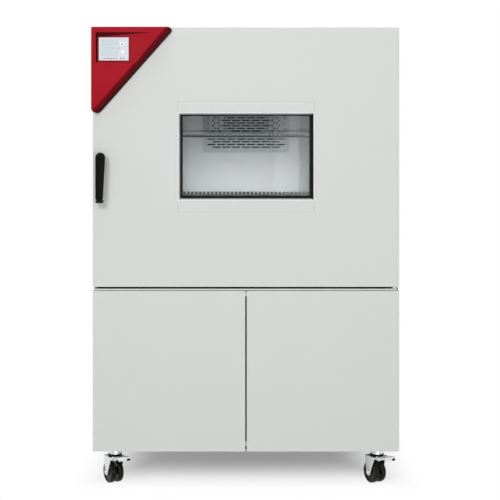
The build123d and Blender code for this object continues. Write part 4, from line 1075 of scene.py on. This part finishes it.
@dataclass
class WindowAssembly:
    """Window trim with its sloped reveal, and what is seen round it and round the glass."""

    rim: float = 0.0025
    lip: float = 0.002
    slope: float = 0.009
    edge_round: float = 0.0006
    bead: tuple[float, float, float, float] = (0.008, 0.005, 0.0012, 0.0004)  # bottom, right, top, left
    bead_depth: float = 0.006
    bead_lap: float = 0.0015
    bead_slope: float = 0.002
    bead_round: float = 0.0008
    tunnel_wall: float = 0.002
    spacer_w: float = 0.0009
    spacer_in: tuple[float, float] = (0.006, 0.012)  # from the panes and from the tunnel's ends
    spacer_round: float = 0.0003
    # width and height of the painted shadow lines
    shadow_line_w: float = 0.0005
    shadow_line_h: float = 0.0003

    def trim(self) -> None:
        """The trim, pale all round except the black reveal on the hinge side, which is painted shade."""
        low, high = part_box("window_frame")
        middle, step = (low.z + high.z) / 2, low.y + self.lip
        half = (high.x - low.x) / 2, (high.z - low.z) / 2
        rings = (
            (0.0, step), (0.0, low.y), (self.rim, low.y), (self.slope, high.y), (self.lip, high.y), (self.lip, step),
        )
        shape = bmesh.new()
        loops = [[(x, y, middle + z) for x, z in centred(*half, inset)] for inset, y in rings]
        reveal = add_loops(shape, loops, closed=True)[8:12]
        # black hinge-side reveal: painted shade
        reveal[1].material_index = 1
        fit_piece(shape, "window_trim", "main_door", "window_frame", TRIM, SEAL, rounding=self.edge_round, instead=True)

    def glazing_bead(self) -> None:
        """Black bead between the glass and the reveal."""
        low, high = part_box("window_frame")
        x0, x1, z0, z1 = low.x + self.slope, high.x - self.slope, low.z + self.slope, high.z - self.slope
        bottom, right, top, left = self.bead
        lap = self.bead_lap
        outer = rect((x0 - lap, z0 - lap), (x1 + lap, z1 + lap))
        inner = rect((x0 + left, z0 + bottom), (x1 - right, z1 - top))
        back = high.y - HAIR
        front = back - self.bead_depth
        rings = ((outer, back), (outer, front), (inner, front + self.bead_slope), (inner, back))
        shape = skinned([[(x, y, z) for x, z in ring] for ring, y in rings], closed=True)
        fit_piece(shape, "glazing_bead", "main_door", "window_tunnel", SEAL, rounding=self.bead_round)

    def spacer_bar(self) -> None:
        """Bright spacer between the panes on the handle side."""
        low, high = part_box("window_tunnel")
        front, back = (corner.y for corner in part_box("window_panes"))
        x, (y_in, z_in) = low.x + self.tunnel_wall, self.spacer_in
        shape = box_shape([((x, front + y_in, low.z + z_in), (x + self.spacer_w, back - y_in, high.z - z_in))])
        fit_piece(shape, "spacer_bar", "main_door", "window_tunnel", TRIM, rounding=self.spacer_round)

    def surround_seams(self) -> None:
        """Fine dark lines of painted shadow round the two cover strips."""
        low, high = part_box("window_surround")
        inner_low, inner_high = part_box("window_frame")
        front, w = high.y - self.shadow_line_h, self.shadow_line_w
        corners = []
        for z0, z1, edge in ((low.z, inner_low.z, low.z), (inner_high.z, high.z, high.z)):
            corners.append(((low.x - w, front, edge - w / 2), (high.x + w, high.y, edge + w / 2)))
            for x in (low.x - w / 2, high.x + w / 2):
                corners.append(((x - w / 2, front, z0), (x + w / 2, high.y, z1)))
        fit_piece(box_shape(corners), "surround_seams", "main_door", "window_surround", SEAL)

    def build(self) -> None:
        """Makes the trim, its bead, the spacer and the painted shadow lines round the cover strips."""
        self.trim()
        self.glazing_bead()
        self.spacer_bar()
        self.surround_seams()


@dataclass
class GrilleSlotShade:
    """Black strips behind the inlet grille's slots that paint their shade: whole strips before the fan and low down,
    ends elsewhere.
    """

    slot_l: float = 0.0335
    slot_w: float = 0.0050
    pitch: tuple[float, float] = (0.0398, 0.0108)
    columns: int = 8
    rows: int = 10
    inlet_r: float = 0.083
    end_l: float = 0.0065
    sink: float = 0.0006
    thickness: float = 0.0004

    def strips(self) -> list[Point]:
        """Where the painted slot shade shows.

        Returns:
            Middle across, middle up and length of each strip.
        """
        low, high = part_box("inlet_grille")
        middle = (low.z + high.z) / 2
        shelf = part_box("wire_shelves")[1].z
        offset = (self.slot_l - self.end_l) / 2
        found = []
        for row in range(-self.rows, self.rows + 1):
            wide = self.columns if (row + self.rows) % 2 else self.columns - 1
            z = middle + row * self.pitch[1]
            reach = math.sqrt(max(0.0, self.inlet_r ** 2 - (z - middle) ** 2))
            for column in range(wide):
                x = (column - (wide - 1) / 2) * self.pitch[0]
                if z < shelf or abs(x) < reach:
                    found.append((x, z, self.slot_l))
                elif abs(x) > self.inlet_r:
                    found += [(x - offset, z, self.end_l), (x + offset, z, self.end_l)]
        return found

    def build(self) -> None:
        """Makes the strips."""
        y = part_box("inlet_grille")[1].y - self.sink
        back, half_w = y + self.thickness, self.slot_w / 2 + HAIR
        strips = [(x, z, length / 2 + HAIR) for x, z, length in self.strips()]
        shape = box_shape([((x - half, y, z - half_w), (x + half, back, z + half_w)) for x, z, half in strips])
        fit_piece(shape, "grille_gauze", "base", "inlet_grille", SEAL)


@dataclass
class GapShadeStrips:
    """Black strips that paint the shade in the joints between the doors."""

    sill_inset: float = 0.003
    sill_depth: float = 0.07
    sill_t: float = 0.0012
    sill_ends: tuple[float, float] = (0.012, 0.004)  # from the deck's edge and from the hinge arm
    post_half_w: float = 0.014
    post_t: float = 0.0015
    post_gap: float = 0.0004
    edge_round: float = 0.0004

    def build(self) -> None:
        """Makes the strips of painted shade on the sill and behind the centre post."""
        low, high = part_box("chamber_deck")
        left, right = low.x + self.sill_ends[0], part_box("hinge_arms")[0].x - self.sill_ends[1]
        y0, y1 = low.y + self.sill_inset, low.y + self.sill_depth
        sill_shade = box_shape([((left, y0, high.z - HAIR), (right, y1, high.z + self.sill_t))])
        fit_piece(sill_shade, "sill_mat", "base", "chamber_deck", SEAL, rounding=self.edge_round)

        low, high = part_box("base_frame")
        half, y = self.post_half_w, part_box("lower_door_left")[1].y + self.post_gap
        post_shade = box_shape([((-half, y, low.z), (half, y + self.post_t, high.z))])
        fit_piece(post_shade, "centre_post_cover", "base", "base_frame", SEAL, rounding=self.edge_round)


@dataclass
class ControllerHousing:
    """Red three-cornered housing with its softened edges, status lamp and display."""

    edge_round: float = 0.0016
    seat_depth: float = 0.012
    side_slope: float = 0.005
    top_slope: float = 0.0095
    top_lift: float = 0.0060
    foot_slope: float = 0.0055
    height_in: float = 0.0040
    screen_margin: float = 0.0035
    screen_depths: tuple[float, float] = (0.0042, 0.0006)
    bezel_depth: float = 0.0048
    bezel_round: float = 0.001
    bezel_edge: float = 0.0003
    # width and depths of the dark rim of painted shadow round the display
    shadow_line_w: float = 0.0018
    shadow_rim_depths: tuple[float, float] = (0.0047, 0.0038)
    shaded_beside: float = 0.011
    facing: float = 0.3
    slant_facing: float = 0.35
    lamp_r: float = 0.0022
    lamp_profile: tuple[tuple[float, float], ...] = ((-0.001, 1.0), (0.0, 1.0), (0.0002, 0.8), (0.0004, 0.3))
    lamp_place: tuple[float, float] = (-0.5296, 1.5334)

    def slope_pocket(self, shape: Shape) -> None:
        """Leans the walls of the display's pocket outward, as a moulding leaves its tool.

        Args:
            shape: The merged copy of the housing.
        """
        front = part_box("controller_housing")[0].y
        seat = [vert for vert in shape.verts if abs(vert.co.y - front - self.seat_depth) < NEAR]
        top = max(vert.co.z for vert in seat)
        rim = max(vert.co.x for vert in shape.verts if abs(vert.co.z - top) < 2 * NEAR)
        fall = self.seat_depth / (rim - seat[0].co.x)
        for vert in seat:
            vert.co.z += self.foot_slope if vert.co.z < top - 5 * NEAR else -self.top_slope
            vert.co.x += self.side_slope
            vert.co.y -= self.side_slope * fall
        for vert in shape.verts:
            if abs(vert.co.z - top) < NEAR and abs(vert.co.y - front) < NEAR:
                vert.co.z += self.top_lift

    def shell(self) -> None:
        """The moulding; its slanted band and the pocket walls are darker copies of the red that paint their shade."""
        mesh = softened_node("controller_housing", self.edge_round, 3, self.slope_pocket)
        low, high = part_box("controller_housing")
        seat_low, seat_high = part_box("touchscreen")
        slant = Vector((high.z - low.z, 0.0, low.x - high.x)).normalized()
        for face in mesh.polygons:
            centre, normal = face.center, face.normal
            in_pocket = centre.y < seat_high.y + 5 * NEAR and centre.x > seat_low.x - self.shaded_beside
            above = centre.z > seat_high.z and normal.z < -self.facing and abs(normal.x) < self.facing
            beside = centre.x < seat_low.x and normal.x > self.facing and seat_low.z < centre.z
            on_slant = normal.dot(slant) > self.slant_facing
            # material 1 on the slanted band and 2 on the pocket walls above and beside the display are painted shade
            face.material_index = 2 if in_pocket and (above or beside) else int(on_slant)
        fit_piece(mesh, "controller_shell", "main_door", "controller_housing", RED, RED_EDGE_SHADED, RED_SHADE, instead=True)

    def display(self) -> None:
        """Bezel, a dark rim of painted shadow round it, and lit panel on the tilted seat of the pocket."""
        low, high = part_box("touchscreen")
        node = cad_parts["touchscreen"].data
        corners = [vert.co for vert in node.vertices]
        normal = max(node.polygons, key=lambda face: face.area * max(0.0, -face.normal.y)).normal.copy()
        across = Vector((-normal.y, normal.x, 0)).normalized()
        middle = Vector(((low.x + high.x) / 2, sum(co.y for co in corners) / len(corners), (low.z + high.z) / 2))
        middle += normal * (max(co.dot(normal) for co in corners) - middle.dot(normal))
        half_w, half_h = (high.x - low.x) / 2 - HAIR, (high.z - low.z) / 2 - self.height_in

        def loops(*rings: tuple[float, float]) -> list[list[Point]]:
            """Loops on the seat, from how far each is drawn in and how deep it lies."""
            return [[tuple(middle + across * x + UP * z - normal * deep) for x, z in centred(half_w, half_h, inset)]
                    for inset, deep in rings]

        deep, edge, margin = self.bezel_depth, self.bezel_round, self.screen_margin
        rings = ((0.0, deep), (0.0, edge), (edge, 0.0), (margin, 0.0), (margin + self.bezel_edge, deep))
        bezel = skinned(loops(*rings), closed=True)
        fit_piece(bezel, "display_bezel", "main_door", "touchscreen", BEZEL, rounding=self.bezel_edge, instead=True)

        # dark rim round the bezel, painting the shadow of its step
        wide, (back, face) = -self.shadow_line_w, self.shadow_rim_depths
        shadow_rim = skinned(loops((wide, back), (wide, face), (edge, face), (edge, back)), closed=True)
        fit_piece(shadow_rim, "display_seam", "main_door", "touchscreen", RED_SHADE)

        panel = skinned(loops(*((margin, depth) for depth in self.screen_depths)))
        layer = panel.loops.layers.uv.new("UVMap")
        width, height = 2 * (half_w - margin), 2 * (half_h - margin)
        for corner in (corner for face in panel.faces for corner in face.loops):
            offset = corner.vert.co - middle
            corner[layer].uv = (0.5 + offset.dot(across) / width, 0.5 + offset.z / height)
        fit_piece(panel, "display_panel", "main_door", "touchscreen", DISPLAY)

    def status_lamp(self) -> None:
        """Small dark lamp below the display."""
        shape = bmesh.new()
        profile = [(out, share * self.lamp_r) for out, share in self.lamp_profile]
        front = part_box("controller_housing")[0].y + 2 * HAIR
        add_lathe(shape, profile, Vector((self.lamp_place[0], front, self.lamp_place[1])), Vector((0, -1, 0)), 16)
        fit_piece(shape, "status_lamp", "main_door", "controller_housing", BLACK)

    def build(self) -> None:
        """Makes the shell, display and lamp."""
        self.shell()
        self.display()
        self.status_lamp()


@dataclass
class DoorHandle:
    """Black lever with a rounded face, and its neck."""

    corner_r: float = 0.0095
    face_round: float = 0.0075
    face_inset: float = 0.0074925
    round_steps: int = 6
    outline_steps: int = 64
    thickness: float = 0.020
    back_round: float = 0.0015
    tip_w: float = 0.027
    neck_lap: float = 0.0005
    neck: tuple[float, float, float] = (0.0125, 0.0140, 0.004)  # radius at the lever, radius, length between

    def build(self) -> None:
        """Makes the lever."""
        low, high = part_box("handle_lever")
        axle_x = sum(corner.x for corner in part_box("latch_shaft")) / 2
        axle_z = high.z - (high.x - low.x) / 2
        front, back, r = low.y, low.y + self.thickness, self.corner_r
        feet = ((x, low.z + r, r) for x in (low.x + r, low.x + self.tip_w - r))
        rounds = ((axle_x, axle_z, high.z - axle_z), *feet)
        stations = [(back, self.back_round), (back - self.back_round, 0.0)]
        for step in range(self.round_steps + 1):
            turn = math.pi / 2 * step / self.round_steps
            inset = self.face_inset * (1 - math.cos(turn))
            stations.append((front + self.face_round * (1 - math.sin(turn)), inset))
        shape = skinned([[(x, y, z) for x, z in hull_outline(rounds, inset, self.outline_steps)]
                         for y, inset in stations])
        thin, thick, length = self.neck
        neck = [(0.0, thin), (length, thick), (high.y - back, thick)]
        add_lathe(shape, neck, Vector((axle_x, back - self.neck_lap, axle_z)), Vector((0, 1, 0)))
        fit_piece(shape, "door_lever", "handle", "handle_lever", BLACK, instead=True)


@dataclass
class ShelfSet:
    """Two wire shelves: round border rods, cross rods and close wires, with a black strip of painted shade and studs at
    the rear.
    """

    rod_r: float = 0.003
    wire_r: float = 0.0015
    corner_r: float = 0.012
    pitch: float = 0.016
    side_in: float = 0.015
    border_steps: int = 64
    sides: int = 10
    tip_l: float = 0.0072
    tip_r: float = 0.00165
    tip_out: float = 0.00045
    # black strip at the lower shelf's rear edge, painting the shade there
    shade_strip_t: tuple[float, float] = (0.0016, 0.0004)  # its faces before the guide panel
    shade_strip_h: tuple[float, float] = (0.016, 0.0045)  # below and above the wires
    stud_l: float = 0.006
    stud_r: float = 0.0034
    stud_out: float = 0.0012

    def border(self, shape: Shape, low: Vector, high: Vector, z: float) -> None:
        """Rod bent round the shelf.

        Args:
            shape: The shape that gets the faces.
            low: Lowest corner of the shelves.
            high: Highest corner of the shelves.
            z: Height of the rod's middle.
        """
        inset, r = self.rod_r + self.corner_r, self.rod_r
        middles = rect((low.x + inset, low.y + inset), (high.x - inset, high.y - inset))
        path = hull_outline([(x, y, self.corner_r) for x, y in middles], 0.0, self.border_steps)
        angles = [2 * math.pi * side / self.sides for side in range(self.sides)]
        loops = []
        for index, (x, y) in enumerate(path):
            turn = 2 * math.pi * index / len(path)
            out = Vector((math.cos(turn), math.sin(turn), 0))
            spokes = ((out * math.cos(angle) + UP * math.sin(angle)) * r for angle in angles)
            loops.append([tuple(Vector((x, y, z)) + spoke) for spoke in spokes])
        add_loops(shape, loops, closed=True)

    def build(self) -> None:
        """Makes both shelves."""
        low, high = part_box("wire_shelves")
        heights = (high.z - 2 * self.wire_r - self.rod_r, low.z + self.rod_r)
        count = int((high.x - low.x - 2 * self.side_in) // self.pitch) + 1
        columns = [(index - (count - 1) / 2) * self.pitch for index in range(count)]
        width, depth = high.x - low.x, high.y - low.y
        borders = bmesh.new()
        wires, cross = [], []
        for z in heights:
            self.border(borders, low, high, z)
            wires += [(x, low.y + self.wire_r, z + self.rod_r + self.wire_r) for x in columns]
            cross += [(low.x + self.rod_r, low.y + depth * share, z) for share in (1 / 3, 2 / 3)]
        fit_piece(borders, "shelf_borders", "base", "wire_shelves", WIRE, instead=True)
        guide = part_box("air_guide_panel")[0].y
        upper_z, lower_z = (z + self.rod_r + 2 * self.wire_r for z in heights)
        tips = [(x, low.y - self.tip_out, upper_z) for x in columns]
        studs = [(x + self.pitch / 2, guide - self.stud_out, lower_z) for x in columns[:-1]]
        # the rear strip is painted shade under the shelf's rear edge
        foot, top = lower_z - self.shade_strip_h[0], lower_z + self.shade_strip_h[1]
        shade_strip = box_shape([((low.x, guide - self.shade_strip_t[0], foot), (high.x, guide - self.shade_strip_t[1], top))])
        wire_bar = BarField(depth - 2 * self.wire_r, self.wire_r, (0, 1, 0))
        tip_bar = BarField(self.tip_l, self.tip_r, (0, 0, -1))
        stud_bar = BarField(self.stud_l, self.stud_r, (0, -1, 0), 12)
        rod_bar = BarField(width - 2 * self.rod_r, self.rod_r, (1, 0, 0), self.sides)
        for name, made, finish in (
            ("shelf_wires", wire_bar.mesh(wires, WIRE_SHADED), WIRE_SHADED),
            ("shelf_wire_tips", tip_bar.mesh(tips, WIRE), WIRE),
            ("shelf_rear_seal", shade_strip, SEAL),
            ("shelf_rear_studs", stud_bar.mesh(studs, WIRE), WIRE),
            ("shelf_cross_rods", rod_bar.mesh(cross, WIRE), WIRE),
        ):
            fit_piece(made, name, "base", "wire_shelves", finish)


@dataclass
class Castor:
    """One twin-wheel castor: moulded wheels, pressed fork with a black band at its race, and a pedal."""

    place: str
    braked: bool
    wheel_r: float = 0.040
    wheel_w: float = 0.021
    gap: float = 0.008
    bore_r: float = 0.0053
    hub_r: float = 0.0135
    tread: float = 0.0035
    yaw: float = math.radians(30)
    race: tuple[float, float] = (0.1005, 0.1100)
    edge_round: float = 0.0012
    pad_l: float = 0.012
    pad_h: float = 0.007
    pad_depth: float = 0.0042
    pad_over: tuple[float, float, float] = (0.0006, 0.0008, 0.0010)  # beside, before and below the pedal
    pad_round: float = 0.0008

    @property
    def axle(self) -> Vector:
        """Direction of the axle."""
        return Vector((math.cos(self.yaw), math.sin(self.yaw), 0))

    def profile(self) -> list[tuple[float, float]]:
        """Section of one wheel, from its inner face to its outer one.

        Returns:
            Distance along the axle and radius of each point.
        """
        w, r = self.wheel_w, self.wheel_r
        return [
            (0.0, self.bore_r), (0.0, 0.014), (0.001, 0.015), (0.001, r - 0.007), (0.0, r - 0.005),
            (0.0007, r - 0.0025), (0.0025, r - 0.0006), (0.0045, r), (w * 0.46, r), (w * 0.48, r - 0.0007),
            (w * 0.52, r - 0.0007), (w * 0.54, r), (w - 0.0045, r), (w - 0.0022, r - 0.0008),
            (w - 0.0006, r - 0.003), (w, r - 0.006), (w - 0.0003, r - 0.0085), (w - 0.003, r - 0.010),
            (w - 0.003, 0.0165), (w - 0.0006, 0.014), (w, 0.012), (w, self.bore_r),
        ]

    def wheels(self) -> None:
        """The two wheels on their hub."""
        node = f"caster_wheel_{self.place}"
        low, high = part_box(node)
        middle, axle, half = (low + high) / 2, self.axle, self.gap / 2
        shape = bmesh.new()
        for sign in (-1, 1):
            for face in add_lathe(shape, self.profile(), middle + axle * sign * half, axle * sign, 56):
                centre = face.calc_center_median() - middle
                radial = (centre - axle * centre.dot(axle)).length
                face.material_index = int(radial <= self.wheel_r - self.tread)
        add_lathe(shape, [(0.0, self.hub_r), (self.gap, self.hub_r)], middle - axle * half, axle, 32)
        mesh = finished_mesh(shape, node, 30)
        fit_piece(mesh, f"castor_wheels_{self.place}", f"wheel_{self.place}", node, TREAD, WHEEL_RIM, instead=True)

    def fork(self) -> None:
        """The pressed fork."""
        node = f"caster_fork_{self.place}"
        mesh = softened_node(node, self.edge_round)
        for face in mesh.polygons:
            face.material_index = int(self.race[0] < face.center.z < self.race[1])
        fit_piece(mesh, f"castor_fork_{self.place}", f"caster_{self.place}", node, ZINC, BLACK, instead=True)

    def pedal(self) -> None:
        """The pedal and its black end pad."""
        node, body, axle = f"brake_pedal_{self.place}", f"pedal_{self.place}", self.axle
        mesh = softened_node(node, self.edge_round)
        fit_piece(mesh, f"castor_pedal_{self.place}", body, node, ZINC, instead=True)
        ahead = Vector((-axle.y, axle.x, 0))
        corners = [vert.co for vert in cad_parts[node].data.vertices]
        front = min(co.dot(ahead) for co in corners)
        right = max(co.dot(axle) for co in corners)
        base = min(co.z for co in corners if co.dot(ahead) < front + 5 * NEAR)
        beside, before, below = self.pad_over
        section = rect((front - before, base - below), (front + self.pad_depth, base + self.pad_h))
        pad = skinned([[tuple(axle * side + ahead * out + UP * z) for out, z in section]
                       for side in (right - self.pad_l, right + beside)])
        fit_piece(pad, f"castor_pad_{self.place}", body, node, BLACK, rounding=self.pad_round)

    def build(self) -> None:
        """Makes the castor."""
        self.wheels()
        self.fork()
        if self.braked:
            self.pedal()


@dataclass
class Studio:
    """Camera, lamps, floor and white surroundings."""

    distance: float = 5.0
    pixel: float = 0.003638
    image: int = 500
    horizon_row: float = 105.0
    middle_column: float = 246.0
    eye_height: float = 1.393
    face_y: float = -0.45
    sensor: float = 36.0
    open_light: float = 0.37
    floor_reach: float = 14.0
    floor_tone: Colour = (0.84, 0.84, 0.84)
    floor_lift: float = 0.24
    white_from: tuple[tuple[float, float], ...] = ((0.50, 0.34), (0.27, 0.50), (0.9, 0.8))  # beside, ahead, behind

    def camera(self) -> None:
        """The camera at the photograph's viewpoint."""
        data = bpy.data.cameras.new("camera")
        data.sensor_width = self.sensor
        data.lens = self.sensor * self.distance / (self.pixel * self.image)
        data.shift_x = (self.image / 2 - self.middle_column) / self.image
        data.shift_y = (self.horizon_row - self.image / 2) / self.image
        data.clip_end = 60
        camera = new_object("camera", data)
        place = Matrix.Translation((0.0, self.face_y - self.distance, self.eye_height))
        camera.matrix_world = place @ Matrix.Rotation(math.radians(90), 4, "X")
        bpy.context.scene.camera = camera

    def world(self) -> None:
        """Even light from all round that shows white to the camera, to gloss and through glass."""
        world = bpy.data.worlds.new("studio_world")
        bpy.context.scene.world = world
        world.use_nodes = True
        nodes = NodeTree(world.node_tree)
        nodes.tree.nodes.clear()
        light = nodes.get("ShaderNodeBackground", {"Color": WHITE, "Strength": self.open_light})
        white = nodes.get("ShaderNodeBackground", {"Color": WHITE})
        mix = nodes.get("ShaderNodeMixShader", {0: nodes.seen(), 1: light, 2: white})
        nodes.node("ShaderNodeOutputWorld", {"Surface": mix})

    def floor(self) -> None:
        """Pale floor that is white away from the object and keeps its shadow."""
        recipe = Recipe("studio_floor")
        place = recipe.place()
        x, y, _ = recipe.axes(place)
        sides = zip((x.math("ABSOLUTE"), -1.0 * y, y), self.white_from)
        beside, ahead, behind = (side.over(*edge) for side, edge in sides)
        far = beside.math("MAXIMUM", ahead).math("MAXIMUM", behind)
        tone = recipe.tinted(self.floor_tone, recipe.noise(place, 4.0), 0.004)
        paint = recipe.get("ShaderNodeBsdfDiffuse", {"Color": tone})
        lift = recipe.get("ShaderNodeEmission", {"Color": WHITE, "Strength": self.floor_lift})
        near = recipe.get("ShaderNodeAddShader", {0: paint, 1: lift})
        white = recipe.get("ShaderNodeEmission", {"Color": WHITE, "Strength": 1.0})
        shown = recipe.get("ShaderNodeMixShader", {0: far, 1: near, 2: white})
        recipe.close(recipe.get("ShaderNodeMixShader", {0: recipe.seen(), 1: paint, 2: shown}))
        mesh = bpy.data.meshes.new("floor")
        corners = [(x, y, 0.0) for x, y in centred(self.floor_reach, self.floor_reach)]
        mesh.from_pydata(corners, [], [range(len(corners))])
        mesh.materials.append(recipe.material)
        floor = new_object("floor", mesh)

    def lamp(self, name: str, place: Point, target: Point, size: tuple[float, float], power: float) -> None:
        """A soft rectangular lamp.

        Args:
            name: Its name.
            place: Where it stands.
            target: What it faces.
            size: Its width and height.
            power: Its power in watts.
        """
        data = bpy.data.lights.new(name, "AREA")
        data.shape = "RECTANGLE"
        data.size, data.size_y = size
        data.energy = power
        turn = (Vector(target) - Vector(place)).to_track_quat("-Z", "Y").to_matrix().to_4x4()
        new_object(name, data).matrix_world = Matrix.Translation(place) @ turn

    def build(self) -> None:
        """Sets up the studio."""
        self.camera()
        self.world()
        self.floor()
        self.lamp("key", (-2.3, -5.8, 4.0), (0.0, -0.45, 1.0), (1.7, 1.7), 142)
        self.lamp("fill", (1.4, -6.2, 0.6), (0.0, -0.45, 0.6), (2.4, 1.6), 76)
        self.lamp("top", (-0.4, -1.2, 5.0), (0.0, -0.4, 0.4), (2.0, 1.6), 40)
        low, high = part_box("inner_chamber")
        self.lamp("ceiling", (0.0, -0.10, high.z - 0.03), (0.0, 0.0, low.z), (0.60, 0.26), 0.16)
        shelf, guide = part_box("wire_shelves")[0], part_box("air_guide_panel")[0]
        height = shelf.z + 0.022
        self.lamp("foot", (0.0, shelf.y + 0.03, height), (0.0, guide.y, height + 0.12), (0.56, 0.02), 1.25)
        bpy.context.scene.view_settings.view_transform = "Standard"
        LOG.info("studio is ready")


def main() -> None:
    """Builds the pieces in order."""
    logging.basicConfig(level=logging.INFO, format="%(name)s %(message)s")
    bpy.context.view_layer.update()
    for part in (Studio, Housing, WindowAssembly, GrilleSlotShade, GapShadeStrips, ControllerHousing, DoorHandle, ShelfSet):
        part().build()
    for place in ("front_left", "front_right", "rear_left", "rear_right"):
        Castor(place, place.startswith("front")).build()


if __name__ == "__main__":
    main()
